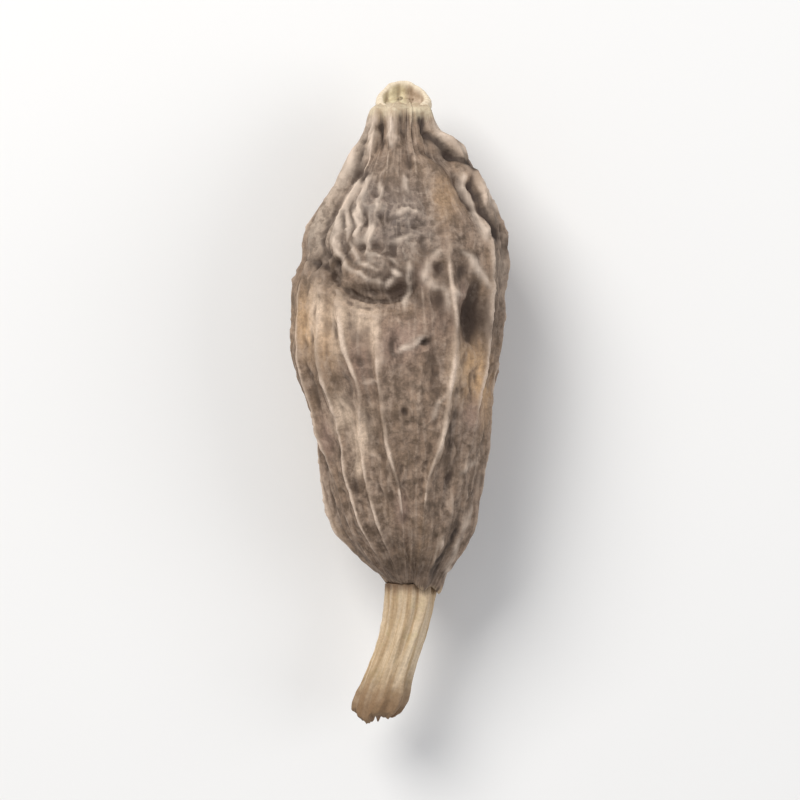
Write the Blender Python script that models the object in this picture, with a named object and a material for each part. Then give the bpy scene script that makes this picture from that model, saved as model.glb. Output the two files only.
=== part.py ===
"""A dried black cardamom pod that lies on its side, modelled in metres with +Z up.

The pod lies along Y: its stalk points to -Y, and the tip, with the withered rim of its flower, to +Y.
It rests at z = 0 on a small flat spot of its belly, and the origin is under the middle of its box.

Each piece is one closed skin: a sphere whose rings are moved onto a formula. A ring goes round the
pod, and the rings follow one another from a hidden root or socket, along the outside, to the far end.
Inside the formulas, lengths are in millimetres and the axis runs from the husk's base at 0 to its tip.
"""

import math

import bmesh
import bpy
import numpy as np

MM = 0.001

# Where the pod's axis lies in the part's frame, in millimetres. Towards the base it leans to the right.
AXIS_X = 0.213
BASE_Y = -11.35
AXIS_Z = 5.7
LEAN = 0.45

# Gap between a root and its socket, in millimetres.
CLEARANCE = 0.25

# The husk's outline as seen from above and from the side: half-sizes at each height along the axis.
HUSK_HEIGHT = [0.0, 0.8, 1.8, 3.2, 5.2, 8.0, 11.0, 14.0, 17.0, 20.5, 22.8, 25.0, 27.2, 29.0]
HUSK_LEFT = [1.55, 2.2, 3.1, 4.15, 4.85, 5.35, 6.1, 7.1, 7.1, 6.1, 5.25, 3.9, 2.35, 1.6]
HUSK_RIGHT = [1.6, 2.35, 3.1, 3.8, 4.3, 4.75, 5.0, 5.5, 6.0, 6.15, 5.5, 4.15, 2.05, 1.55]
HUSK_UP = [1.55, 2.3, 3.15, 4.05, 4.85, 5.5, 6.05, 6.35, 6.4, 5.9, 5.05, 3.8, 2.35, 1.6]
HUSK_DOWN = [1.55, 2.2, 3.05, 3.9, 4.7, 5.4, 5.9, 6.1, 6.1, 5.75, 4.9, 3.7, 2.35, 1.6]
HUSK_LENGTH = HUSK_HEIGHT[-1]

# Sockets at the husk's two ends: radius and depth.
STALK_ROOT_RADIUS, STALK_ROOT_DEPTH = 1.0, 1.7
RIM_ROOT_RADIUS, RIM_ROOT_DEPTH = 0.9, 1.15

# Ribs: lengthwise veins on a grid that follows them. Angles run round the pod, from its right side
# over the top. The ribs of the upper side have an angle and a strength at each of these heights, and
# the others keep one angle, and one strength that rises and falls in a slow wave.
PATH_HEIGHT = [0, 3, 6, 9, 12, 15, 18, 21, 24, 27, 29]
UPPER_PATHS = [
    [25, 22, 19, 16, 14, 14, 14, 14, 15, 17, 20],
    [62, 56, 48, 40, 36, 32, 34, 36, 34, 36, 40],
    [80, 80, 77, 68, 63, 61, 64, 64, 63, 64, 68],
    [90, 90, 88, 84, 82, 80, 80, 82, 82, 78, 73],
    [98, 97, 98, 104, 105, 104, 104, 105, 107, 108, 108],
    [112, 115, 120, 123, 116, 120, 127, 124, 122, 121, 121],
    [125, 129, 134, 137, 136, 137, 138, 136, 134, 134, 134],
    [140, 145, 150, 155, 156, 156, 156, 155, 153, 150, 150],
]
UPPER_STRENGTHS = [
    [0.9, 0.9, 0.8, 0.7, 0.8, 0.6, 0.8, 0.9, 1.0, 0.8, 0.5],
    [0.8, 0.8, 0.6, 0.4, 0.9, 0.9, 0.8, 0.8, 1.0, 0.6, 0.5],
    [0.9, 0.4, 0.8, 1.1, 1.1, 0.9, 0.9, 0.5, 0.2, 0.3, 0.4],
    [0.8, 0.4, 0.1, 0.1, 0.3, 0.3, 0.5, 0.2, 0.2, 1.0, 1.1],
    [0.7, 0.4, 1.0, 0.9, 0.8, 0.9, 0.3, 0.1, 0.1, 1.0, 1.1],
    [0.9, 1.0, 1.0, 0.5, 1.0, 1.2, 0.9, 0.4, 0.3, 0.5, 0.6],
    [0.7, 1.0, 1.0, 0.7, 1.0, 1.0, 0.6, 0.8, 1.0, 0.9, 0.6],
    [0.7, 0.7, 0.7, 0.9, 0.9, 0.7, 0.6, 0.5, 0.5, 0.6, 0.5],
]
LOWER_DEGREES = [174, 195, 214, 236, 255, 274, 293, 315, 335, 355]
LOWER_STRENGTHS = [1, 0.8, 1.1, 0.7, 1, 0.8, 1.1, 0.7, 1, 0.6]
RIB_COUNT = len(UPPER_PATHS) + len(LOWER_DEGREES)
RIB_HEIGHT = 0.38
RIB_FADE = 0.35
RIB_FADE_LENGTH = 2.9
SAMPLES_PER_RIB = 6
HUSK_RINGS = 44

# Rings stand closer together near the two ends: this much of a half turn is cut off at each end.
RING_CUT = 0.04

# Three valves meet along shallow furrows.
VALVE_DEPTH = 0.28
VALVE_ANGLE = math.radians(93)

# Soft hollows: height along the axis, angle, half-length, half-width, depth.
DENTS = [
    (16.5, 46, 1.6, 0.85, 0.95),
    (20.6, 96, 2.6, 2.0, 0.40),
    (13.6, 72, 1.2, 0.8, 0.25),
    (8.6, 118, 3.6, 1.0, 0.30),
    (7.0, 55, 3.0, 0.9, 0.30),
    (12.5, 188, 3.4, 1.4, 0.55),
    (20.0, 222, 2.4, 1.5, 0.55),
    (18.5, 2, 2.2, 1.2, 0.55),
    (9.0, 338, 3.2, 1.3, 0.50),
    (24.0, 300, 1.8, 1.2, 0.45),
    (6.0, 245, 2.4, 1.3, 0.40),
]

# Shoulder folds that run down from the tip: angle at the tip and at the foot, height of the foot,
# half-width and height of the fold.
FOLDS = [
    (40, 28, 23.0, 0.65, 0.80),
    (150, 160, 21.8, 0.65, 0.60),
    (101, 97, 25.6, 0.45, 0.45),
    (212, 204, 22.5, 0.65, 0.60),
    (290, 300, 22.0, 0.65, 0.60),
]
FOLD_CREASE = 0.55

# A flap of skin that slants from the tip to the right shoulder, over the upper side: the ends of its
# edge as seen from above, its height, its half-width and the depth of the crease under its edge.
FLAP_FROM, FLAP_TO = (1.0, 27.3), (4.1, 25.4)
FLAP_HEIGHT, FLAP_HALF_WIDTH = 0.62, 0.6
FLAP_CREASE, FLAP_CREASE_HALF_WIDTH = 0.55, 0.3

# The sagging shoulder ends in a crease that bows down like a bowl's bottom, as seen from above: the
# middle and radius of its arc, its depth and half-width, and the height of the swelling inside it.
SAG_MIDDLE, SAG_RADIUS = (-1.6, 20.8), 3.4
SAG_DEPTH, SAG_HALF_WIDTH = 0.4, 0.55
SAG_SWELLING = 0.25

# The belly, where the relief fades so that the flat spot is whole: middle, half-length, half-width.
BELLY_HEIGHT, BELLY_HALF_LENGTH, BELLY_HALF_WIDTH = 15.5, 6.5, 3.2
BELLY_FADE = 0.85

# The stalk: centre line and half-width at each distance below the husk's base.
STALK_HEIGHT = [1.7, 0.0, -1.5, -3.0, -4.5, -6.0, -7.3, -8.2]
STALK_SIDE = [0.0, 0.0, -0.12, -0.48, -1.0, -1.55, -1.95, -2.25]
STALK_DROP = [0.0, 0.0, -0.05, -0.2, -0.4, -0.6, -0.75, -0.85]
STALK_HALF = [1.5, 1.62, 1.46, 1.38, 1.38, 1.48, 1.62, 1.5]
STALK_FLATTEN = 0.86
STALK_RIBS = 8
STALK_RIB_HEIGHT = 0.14
STALK_SAMPLES = 4
STALK_RINGS = 22
STALK_END_RADIUS = [0.75, 0.35, 0.0]
STALK_END_RISE = [0.15, 0.35, 0.40]

# The flower's withered rim: a collar round a shallow hollow, bent so that the hollow looks upwards.
# Each ring has a radius and a distance along the collar, whose root ends at 0. Its front wall is flatter.
RIM_RIBS = 9
RIM_SAMPLES = 4
RIM_TILT = math.radians(50)
RIM_RIB_HEIGHT = 0.06
RIM_FLATTEN = 0.18
RIM_RADIUS = [0.45, 0.9, 0.9, 1.5, 1.7, 1.74, 1.72, 1.66, 1.5, 1.32, 1.18, 1.05, 0.7, 0.35]
RIM_ALONG = [-0.9, -0.9, 0.0, 0.02, 0.12, 0.3, 0.5, 0.68, 0.8, 0.78, 0.66, 0.5, 0.46, 0.5]


def curve(height, heights, values):
    """A smooth curve through the stations: cubic pieces that share their slopes."""
    heights = np.asarray(heights, float)
    values = np.asarray(values, float)
    slopes = np.gradient(values, heights)
    if heights[0] > heights[-1]:
        heights, values, slopes = heights[::-1], values[::-1], slopes[::-1]
    i = np.clip(np.searchsorted(heights, height, side="right") - 1, 0, len(heights) - 2)
    step = heights[i + 1] - heights[i]
    u = np.clip((height - heights[i]) / step, 0, 1)
    start = (1 + 2 * u) * (1 - u) ** 2 * values[i] + u * (1 - u) ** 2 * step * slopes[i]
    end = u * u * (3 - 2 * u) * values[i + 1] + u * u * (u - 1) * step * slopes[i + 1]
    return start + end


def ease(x, low, high):
    """0 below low, 1 above high, and a smooth step between them."""
    u = np.clip((x - low) / (high - low), 0, 1)
    return u * u * (3 - 2 * u)


def bell(x, half_width):
    return np.exp(-((x / half_width) ** 2))


def turn_between(angle, other):
    """Signed angle from other to angle, in radians, by the short way round."""
    return (angle - other + math.pi) % (2 * math.pi) - math.pi


def noise(turn, share, cells_round, cells_along, seed):
    """Smooth bumps from -1 to 1 that close round the pod: random heights on cells, blended between."""
    cells = np.random.default_rng(seed).uniform(-1, 1, (cells_along + 2, cells_round))
    u = turn % 1.0 * cells_round
    v = np.clip(share, 0, 1) * cells_along
    column = np.floor(u).astype(int)
    row = np.floor(v).astype(int)
    across = ease(u - column, 0, 1)
    up = ease(v - row, 0, 1)
    column = column % cells_round
    beside = (column + 1) % cells_round
    lower = cells[row, column] * (1 - across) + cells[row, beside] * across
    upper = cells[row + 1, column] * (1 - across) + cells[row + 1, beside] * across
    return lower * (1 - up) + upper * up


def along_ribs(rows, height):
    """A value for each ring and rib: a smooth curve through the stations of every rib."""
    return np.stack([curve(height[:, 0], PATH_HEIGHT, row) for row in rows], axis=1)


def rib_angle(rib, height):
    """Angle of a rib number, whole or between two ribs, at each height."""
    lower_paths = [[degrees] * len(PATH_HEIGHT) for degrees in LOWER_DEGREES]
    paths = along_ribs(UPPER_PATHS + lower_paths, height)
    paths = np.concatenate([paths, paths[:, :1] + 360], axis=1)
    before = np.floor(rib[0]).astype(int)
    share = rib - before
    return np.radians(paths[:, before] * (1 - share) + paths[:, before + 1] * share)


def rib_presence(rib, height):
    """Strength of the nearest rib at each height."""
    wave = np.sin(np.array(PATH_HEIGHT) / RIB_FADE_LENGTH + 1.7 * np.arange(len(LOWER_STRENGTHS))[:, None])
    lower_rows = np.array(LOWER_STRENGTHS)[:, None] * (1 - RIB_FADE + RIB_FADE * wave)
    rows = np.concatenate([UPPER_STRENGTHS, lower_rows])
    nearest = np.round(rib[0]).astype(int) % RIB_COUNT
    return along_ribs(rows, height)[:, nearest]


def wander(angle, height):
    """Sideways drift of the ribs along the pod, in radians. On the belly they bunch near the base."""
    drift = 0.05 * np.sin(2 * angle + height / 4.0)
    drift += 0.035 * np.sin(3 * angle - height / 2.3 + 1.0)
    drift += 0.02 * np.sin(5 * angle + height / 1.4)
    bunching = 0.24 * np.sin(2 * angle) * (1 - ease(height, 2.5, 10))
    upper = ease(np.sin(angle), -0.2, 0.3)
    return drift * (1 - 0.7 * upper) + bunching * (1 - upper)


def ribs(rib, height, radius):
    """Height of the veins: crests at whole rib numbers, each strong or weak along the pod."""
    crest = (0.5 + 0.5 * np.cos(2 * math.pi * rib)) ** 3
    return RIB_HEIGHT * crest * rib_presence(rib, height) * np.clip(radius / 6, 0.25, 1)


def hollows(angle, height, radius):
    """Depth of the soft dents, each an oval bell."""
    depth = 0
    for at, degrees, half_length, half_width, deep in DENTS:
        across = turn_between(angle, math.radians(degrees)) * radius
        depth = depth + deep * bell(height - at, half_length) * bell(across, half_width)
    return depth


def folds(angle, height, radius):
    """The thick folds below the tip, each with a crease along its upper-side edge."""
    rise = 0
    for tip, foot, foot_height, half_width, high in FOLDS:
        share = (height - foot_height) / (HUSK_LENGTH - foot_height)
        centre = np.radians(foot + (tip - foot) * np.clip(share, 0, 1))
        across = turn_between(angle, centre) * radius
        inner = half_width * (1.6 if math.cos(math.radians(foot)) > 0 else -1.6)
        along = ease(share, -0.4, 0.2) * (1 - 0.7 * ease(share, 0.5, 0.95))
        body = bell(across, half_width) - FOLD_CREASE * bell(across - inner, half_width * 0.75)
        rise = rise + high * along * body
    return rise


def beside_line(side, height, start, end):
    """Distances along and to the left of a line on the upper side, as seen from above, and its length."""
    dx, dy = end[0] - start[0], end[1] - start[1]
    length = math.hypot(dx, dy)
    along = ((side - start[0]) * dx + (height - start[1]) * dy) / length
    across = ((height - start[1]) * dx - (side - start[0]) * dy) / length
    return along, across, length


def flap(angle, height, radius):
    """The slanting flap: a bell beside its edge and a narrower crease under the edge."""
    along, across, length = beside_line(radius * np.cos(angle), height, FLAP_FROM, FLAP_TO)
    within = ease(along, -0.2, 1.6) * (1 - ease(along, length - 0.5, length + 0.8))
    body = FLAP_HEIGHT * bell(across - FLAP_HALF_WIDTH, FLAP_HALF_WIDTH)
    crease = FLAP_CREASE * bell(across + FLAP_CREASE_HALF_WIDTH, FLAP_CREASE_HALF_WIDTH)
    return within * (body - crease) * ease(np.sin(angle), 0, 0.3)


def sag(angle, height, radius):
    """The bowed crease on the upper side, with a swollen edge inside its arc."""
    side, below = radius * np.cos(angle) - SAG_MIDDLE[0], SAG_MIDDLE[1] - height
    outside = np.hypot(side, below) - SAG_RADIUS
    reach = ease(below, -0.4, 1.4) * (1 - ease(side, 1.8, 2.9)) * ease(np.sin(angle), 0, 0.3)
    return reach * (SAG_SWELLING * bell(outside + 1.4, 1.0) - SAG_DEPTH * bell(outside, SAG_HALF_WIDTH))


def relief(rib, angle, height, radius):
    """How far the skin stands out from the plain outline, in millimetres."""
    turn = angle / (2 * math.pi)
    share = height / HUSK_LENGTH
    valves = -VALVE_DEPTH * (0.5 + 0.5 * np.cos(3 * (angle - VALVE_ANGLE))) ** 3
    lumps = 0.16 * noise(turn, share, 14, 9, 3) + 0.10 * noise(turn, share, 26, 16, 4)
    rise = ribs(rib, height, radius) + sag(angle, height, radius)
    rise += folds(angle, height, radius) + flap(angle, height, radius) - hollows(angle, height, radius)
    rise += (valves + lumps) * np.clip(radius / 5, 0, 1)
    across = turn_between(angle, math.radians(270)) * radius
    belly = bell(across, BELLY_HALF_WIDTH) * bell(height - BELLY_HEIGHT, BELLY_HALF_LENGTH)
    ends = ease(height, 0.0, 1.2) * (1 - 0.6 * ease(height, HUSK_LENGTH - 0.8, HUSK_LENGTH))
    return rise * (1 - BELLY_FADE * belly) * ends


def outline(angle, height):
    """Half-sizes of the plain husk along X and Z at each angle: four quarter ellipses."""
    wide = np.where(
        np.cos(angle) > 0,
        curve(height, HUSK_HEIGHT, HUSK_RIGHT),
        curve(height, HUSK_HEIGHT, HUSK_LEFT),
    )
    tall = np.where(
        np.sin(angle) > 0,
        curve(height, HUSK_HEIGHT, HUSK_UP),
        curve(height, HUSK_HEIGHT, HUSK_DOWN),
    )
    return wide, tall


def outward(points):
    """Unit normals of a grid of points whose columns close on themselves."""
    closed = np.concatenate([points[:, -1:], points, points[:, :1]], axis=1)
    across = np.gradient(closed, axis=1)[:, 1:-1]
    along = np.gradient(points, axis=0)
    normal = np.cross(along, across)
    return normal / np.maximum(np.linalg.norm(normal, axis=2, keepdims=True), 1e-12)


def to_frame(side, height, up):
    """Points in the part's frame, in metres, from places on the pod's axis in millimetres."""
    leaning = LEAN * (1 - height / HUSK_LENGTH)
    return np.stack([side + leaning + AXIS_X, height + BASE_Y, up + AXIS_Z], axis=2) * MM


def socket(angle, radius, depth, mouth, inward):
    """Rings by columns of a round socket, from the middle of its floor to just inside its mouth."""
    radii = (radius + CLEARANCE) * np.array([0.0, 0.6, 1.0, 1.0])[:, None]
    floor = mouth + inward * (depth + CLEARANCE)
    heights = np.array([floor, floor, floor, mouth + inward * 0.1])[:, None]
    return to_frame(radii * np.cos(angle), heights + 0 * angle, radii * np.sin(angle))


def husk_points():
    """Rings by columns of the husk: the stalk's socket, the ribbed outside, and the rim's socket."""
    count = RIB_COUNT * SAMPLES_PER_RIB
    rib = np.arange(count)[None, :] / SAMPLES_PER_RIB
    half_turn = math.pi * np.linspace(RING_CUT, 1 - RING_CUT, HUSK_RINGS)[:, None]
    height = HUSK_LENGTH * (0.5 - 0.5 * np.cos(half_turn) / np.cos(half_turn[0]))
    nominal = rib_angle(rib, height)
    angle = nominal + wander(nominal, height)
    wide, tall = outline(angle, height)
    side, up = wide * np.cos(angle), tall * np.sin(angle)
    skin = to_frame(side, height + 0 * angle, up)
    skin += relief(rib, angle, height, np.hypot(side, up))[:, :, None] * outward(skin) * MM
    skin[:, :, 2] = np.maximum(skin[:, :, 2], 0)
    below = socket(angle[0], STALK_ROOT_RADIUS, STALK_ROOT_DEPTH, 0.0, 1)
    above = socket(angle[-1], RIM_ROOT_RADIUS, RIM_ROOT_DEPTH, HUSK_LENGTH, -1)
    return np.concatenate([below, skin, above[::-1]])


def stalk_points():
    """Rings by columns of the stalk: a root in the husk's socket, the stalk, and its broken end."""
    count = STALK_RIBS * STALK_SAMPLES
    angle = 2 * math.pi * np.arange(count)[None, :] / count
    share = np.linspace(0, 1, STALK_RINGS)[:, None]
    height = -CLEARANCE + share * (STALK_HEIGHT[-1] + CLEARANCE)
    radius = curve(height, STALK_HEIGHT, STALK_HALF)
    ridge = np.cos(STALK_RIBS * angle + 1.1 * np.sin(height / 3.0))
    radius = radius + STALK_RIB_HEIGHT * ridge * (0.7 + 0.3 * np.sin(3 * angle + height))
    radius = radius * (1 - 0.25 * ease(share, 0.96, 1.0))
    ragged = 0.22 * np.sin(2 * angle + 0.8) + 0.12 * np.sin(5 * angle)
    height = height + ragged * ease(share, 0.85, 1.0)

    root_radius = np.array([0.0, 0.6, 1.0, 1.0])[:, None] * STALK_ROOT_RADIUS
    root_height = np.array([STALK_ROOT_DEPTH] * 3 + [-CLEARANCE])[:, None]
    end_radius = np.array(STALK_END_RADIUS)[:, None]
    end_height = STALK_HEIGHT[-1] + np.array(STALK_END_RISE)[:, None]
    radius = np.concatenate([root_radius + 0 * angle, radius, end_radius + 0 * angle])
    height = np.concatenate([root_height + 0 * angle, height, end_height + 0 * angle])
    side = radius * np.cos(angle) + curve(height, STALK_HEIGHT, STALK_SIDE)
    oval = np.where(height > -CLEARANCE, 1.0, STALK_FLATTEN)
    up = radius * np.sin(angle) * oval + curve(height, STALK_HEIGHT, STALK_DROP)
    return to_frame(side, height, up)


def rim_points():
    """Rings by columns of the flower's rim: a root in the husk's tip, the collar, and its hollow."""
    count = RIM_RIBS * RIM_SAMPLES
    angle = 2 * math.pi * np.arange(count)[None, :] / count
    radius = np.array([0.0] + RIM_RADIUS + [0.0])[:, None]
    along = np.array([RIM_ALONG[0]] + RIM_ALONG + [RIM_ALONG[-1]])[:, None]
    outside = ease(along, 0.05, 0.3) * ease(radius, 0.7, 1.5)
    radius = radius + RIM_RIB_HEIGHT * outside * np.cos(RIM_RIBS * angle)
    radius = radius * (1 - RIM_FLATTEN * outside * ease(np.sin(angle), 0, 1))
    along = along + 0.08 * outside * np.sin(3 * angle + 0.5)
    tilt = RIM_TILT * ease(along, 0.0, 0.9)
    height = HUSK_LENGTH + CLEARANCE + along * np.cos(tilt / 2) - radius * np.sin(angle) * np.sin(tilt)
    up = along * np.sin(tilt / 2) + radius * np.sin(angle) * np.cos(tilt)
    return to_frame(radius * np.cos(angle), height, up)


def closed_skin(name, points, material):
    """An object made of a UV sphere: ring by ring, its vertices are set on the given points."""
    rings, columns = points.shape[:2]
    mesh = bpy.data.meshes.new(name)
    bm = bmesh.new()
    bmesh.ops.create_uvsphere(bm, u_segments=columns, v_segments=rings - 1, radius=1.0)
    for vert in bm.verts:
        ring = round(math.acos(max(-1.0, min(1.0, -vert.co.z))) / math.pi * (rings - 1))
        column = round(math.atan2(vert.co.y, vert.co.x) / (2 * math.pi) * columns) % columns
        vert.co = points[ring, column]
    if bm.calc_volume(signed=True) < 0:
        bmesh.ops.reverse_faces(bm, faces=bm.faces)
    bm.to_mesh(mesh)
    bm.free()
    mesh.shade_smooth()
    mesh.materials.append(material)
    return bpy.data.objects.new(name, mesh)


def finish(name, colour, roughness):
    """A plain Principled material."""
    material = bpy.data.materials.new(name)
    material.use_nodes = True
    shader = material.node_tree.nodes["Principled BSDF"]
    shader.inputs["Base Color"].default_value = (*colour, 1.0)
    shader.inputs["Roughness"].default_value = roughness
    shader.inputs["Metallic"].default_value = 0.0
    return material


def main():
    for old in list(bpy.data.objects):
        bpy.data.objects.remove(old)
    pod = bpy.data.collections.new("black_cardamom_pod")
    bpy.context.scene.collection.children.link(pod)
    pieces = [
        closed_skin("husk", husk_points(), finish("dried_husk", (0.235, 0.170, 0.125), 0.75)),
        closed_skin("stalk", stalk_points(), finish("dried_stalk", (0.44, 0.32, 0.20), 0.65)),
        closed_skin("flower_rim", rim_points(), finish("withered_rim", (0.48, 0.40, 0.29), 0.7)),
    ]
    for piece in pieces:
        pod.objects.link(piece)


main()
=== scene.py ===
# %% [markdown]
# # A dried black cardamom pod
#
# This notebook dresses one small object: a dried pod that lies on its side, with a short bent stalk
# at one end and the withered rim of its flower at the tip. The CAD model is loaded first and never
# changed. It gives the size and the place of everything, and each of its three pieces is replaced
# by a finer one that follows the same formulas.
#
# A pod like this could be sculpted by hand, but a formula has three advantages here. It can be
# checked against measurements, it can be computed at any fineness, and the values that shape the
# surface, such as how close a point is to a vein, can be handed on to the materials.

# %% Load the frame
import math
from types import SimpleNamespace

import bpy
import numpy as np
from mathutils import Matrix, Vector


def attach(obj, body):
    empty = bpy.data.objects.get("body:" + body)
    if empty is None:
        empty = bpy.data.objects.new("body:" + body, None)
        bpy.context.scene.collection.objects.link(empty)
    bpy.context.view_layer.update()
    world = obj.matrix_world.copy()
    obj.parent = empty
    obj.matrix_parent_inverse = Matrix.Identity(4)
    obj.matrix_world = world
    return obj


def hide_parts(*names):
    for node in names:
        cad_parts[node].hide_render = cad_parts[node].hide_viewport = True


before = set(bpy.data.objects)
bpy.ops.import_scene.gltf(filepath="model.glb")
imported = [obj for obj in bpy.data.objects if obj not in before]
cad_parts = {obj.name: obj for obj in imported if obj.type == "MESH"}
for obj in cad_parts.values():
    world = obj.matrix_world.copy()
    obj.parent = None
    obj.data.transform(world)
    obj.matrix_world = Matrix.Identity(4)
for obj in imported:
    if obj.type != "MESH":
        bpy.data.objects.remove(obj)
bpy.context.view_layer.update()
MM = 0.001

# %% [markdown]
# ## Curves, steps and noise
#
# Everything on the pod is described by two numbers: how far along the axis a point is, in
# millimetres above the husk's base, and its angle round the axis. Four small functions do most of
# the work. A curve through stations gives outlines. A smooth step fades things in and out. A bell
# makes soft bumps and lines. Noise makes irregular bumps, and it is built on cells that close round
# the pod, so that there is no seam.

# %% Curves, steps and noise


def curve(height, heights, values):
    """A smooth curve through the stations: cubic pieces that share their slopes."""
    heights = np.asarray(heights, float)
    values = np.asarray(values, float)
    slopes = np.gradient(values, heights)
    if heights[0] > heights[-1]:
        heights, values, slopes = heights[::-1], values[::-1], slopes[::-1]
    i = np.clip(np.searchsorted(heights, height, side="right") - 1, 0, len(heights) - 2)
    step = heights[i + 1] - heights[i]
    u = np.clip((height - heights[i]) / step, 0, 1)
    start = (1 + 2 * u) * (1 - u) ** 2 * values[i] + u * (1 - u) ** 2 * step * slopes[i]
    end = u * u * (3 - 2 * u) * values[i + 1] + u * u * (u - 1) * step * slopes[i + 1]
    return start + end


def ease(x, low, high):
    """0 below low, 1 above high, and the smooth step 3u^2 - 2u^3 between them."""
    u = np.clip((x - low) / (high - low), 0, 1)
    return u * u * (3 - 2 * u)


def bell(x, half_width):
    """exp(-(x / half_width)^2): 1 in the middle, fading softly to both sides."""
    return np.exp(-((x / half_width) ** 2))


def turn_between(angle, other):
    """Signed angle from other to angle, in radians, by the short way round."""
    return (angle - other + math.pi) % (2 * math.pi) - math.pi


def noise(turn, share, cells_round, cells_along, seed):
    """Smooth bumps from -1 to 1 that close round the pod: random heights on cells, blended between."""
    cells = np.random.default_rng(seed).uniform(-1, 1, (cells_along + 2, cells_round))
    u = turn % 1.0 * cells_round
    v = np.clip(share, 0, 1) * cells_along
    column = np.floor(u).astype(int)
    row = np.floor(v).astype(int)
    across = ease(u - column, 0, 1)
    up = ease(v - row, 0, 1)
    column = column % cells_round
    beside = (column + 1) % cells_round
    lower = cells[row, column] * (1 - across) + cells[row, beside] * across
    upper = cells[row + 1, column] * (1 - across) + cells[row + 1, beside] * across
    return lower * (1 - up) + upper * up


print("noise at a cell:", noise(np.array([0.25]), np.array([0.5]), 8, 8, 1).round(3))

# %% [markdown]
# ## From a grid of points to a mesh
#
# Each piece is a grid: rings round the axis, one after another, from a hidden root to the far end.
# Blender could be given a lofted surface or a subdivided cage, but a grid of points is the shortest
# way from a formula to a mesh. The last column joins the first, and the first and last rings close
# on one point each, so the mesh has no open edge. The same function stores the UV map and any
# value that a material will ask for later, as attributes of the points.

# %% Faces and UV of a closed grid


def grid_faces(rings, columns):
    """Quads between the inner rings, and a fan of triangles at each end, round a pole."""
    ring, column = np.meshgrid(np.arange(1, rings - 2), np.arange(columns), indexing="ij")
    beside = (column + 1) % columns
    low, high = (ring - 1) * columns, ring * columns
    quads = np.stack([low + column, low + beside, high + beside, high + column], axis=2).reshape(-1, 4)
    first_pole = (rings - 2) * columns
    last_ring = (rings - 3) * columns
    around = np.arange(columns)
    after = (around + 1) % columns
    first_fan = np.stack([np.full(columns, first_pole), after, around], axis=1)
    last_fan = np.stack([last_ring + around, last_ring + after, np.full(columns, first_pole + 1)], axis=1)
    return quads.tolist() + first_fan.tolist() + last_fan.tolist()


def grid_uv(rings, columns):
    """UV of every corner, in the order of grid_faces: u goes round the piece and v along it."""
    ring, column = np.meshgrid(np.arange(1, rings - 2), np.arange(columns), indexing="ij")
    u, v = column / columns, ring / (rings - 1)
    one, up = 1 / columns, 1 / (rings - 1)
    quads = np.stack([u, v, u + one, v, u + one, v + up, u, v + up], axis=2)
    x = np.arange(columns) / columns
    zero, top = 0 * x, 0 * x + 1
    first_fan = np.stack([x + one / 2, zero, x + one, zero + up, x, zero + up], axis=1)
    last_fan = np.stack([x, top - up, x + one, top - up, x + one / 2, top], axis=1)
    return np.concatenate([quads.reshape(-1), first_fan.reshape(-1), last_fan.reshape(-1)])


print("a grid of 5 rings by 8 columns has", len(grid_faces(5, 8)), "faces")

# %% A closed mesh from rings and columns


def per_point(values):
    """A grid's values in the order of the mesh's points: the inner rings, then the two poles."""
    inner = values[1:-1].reshape((-1,) + values.shape[2:])
    return np.concatenate([inner, values[:1, 0], values[-1:, 0]])


def closed_piece(name, points, fields):
    """An object from rings by columns of points. fields gives the attributes that its material
    reads: a name with one number or one vector for each point."""
    mesh = bpy.data.meshes.new(name)
    mesh.from_pydata(per_point(points).tolist(), [], grid_faces(*points.shape[:2]))
    layer = mesh.uv_layers.new(name="round_and_along")
    layer.data.foreach_set("uv", grid_uv(*points.shape[:2]))
    for label, values in fields.items():
        kind, slot = ("FLOAT_VECTOR", "vector") if values.ndim == 3 else ("FLOAT", "value")
        attribute = mesh.attributes.new(label, kind, "POINT")
        attribute.data.foreach_set(slot, per_point(values).astype(np.float32).reshape(-1))
    if signed_volume(mesh) < 0:
        mesh.flip_normals()
    mesh.shade_smooth()
    piece = bpy.data.objects.new(name, mesh)
    bpy.context.scene.collection.objects.link(piece)
    print(name, "has", len(mesh.polygons), "faces and", round(abs(signed_volume(mesh)) / MM**3), "mm3")
    return piece


def signed_volume(mesh):
    """Volume from the faces' fans: each triangle adds a . (b x c) / 6, and inside out is negative."""
    mesh.calc_loop_triangles()
    corners = np.empty(len(mesh.loop_triangles) * 3, int)
    mesh.loop_triangles.foreach_get("vertices", corners)
    places = np.empty(len(mesh.vertices) * 3)
    mesh.vertices.foreach_get("co", places)
    a, b, c = places.reshape(-1, 3)[corners.reshape(-1, 3)].transpose(1, 0, 2)
    return float(np.sum(a * np.cross(b, c)) / 6)


# %% [markdown]
# ## Where the axis lies
#
# The CAD model puts the pod's axis a little beside the frame's Y axis, because the pod bulges more
# to one side, and 5.7 mm above the floor. These are its values. The height along the axis is 0 at
# the husk's base and 29 mm at its tip.

# %% The axis
AXIS_X, BASE_Y, AXIS_Z = 0.213, -11.35, 5.7
LEAN, LEAN_LENGTH = 0.45, 29.0


def to_frame(side, height, up):
    """Points in the frame, in metres, from places on the pod's axis in millimetres."""
    side, height, up = np.broadcast_arrays(side, height, up)
    leaning = LEAN * (1 - height / LEAN_LENGTH)
    return np.stack([side + leaning + AXIS_X, height + BASE_Y, up + AXIS_Z], axis=2) * MM


def outward(points):
    """Unit normals of a grid of points whose columns close on themselves."""
    closed = np.concatenate([points[:, -1:], points, points[:, :1]], axis=1)
    across = np.gradient(closed, axis=1)[:, 1:-1]
    along = np.gradient(points, axis=0)
    normal = np.cross(along, across)
    return normal / np.maximum(np.linalg.norm(normal, axis=2, keepdims=True), 1e-12)


print("the axis starts at", (to_frame(*np.zeros((3, 1, 1)))[0, 0] / MM).round(2), "mm")

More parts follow.
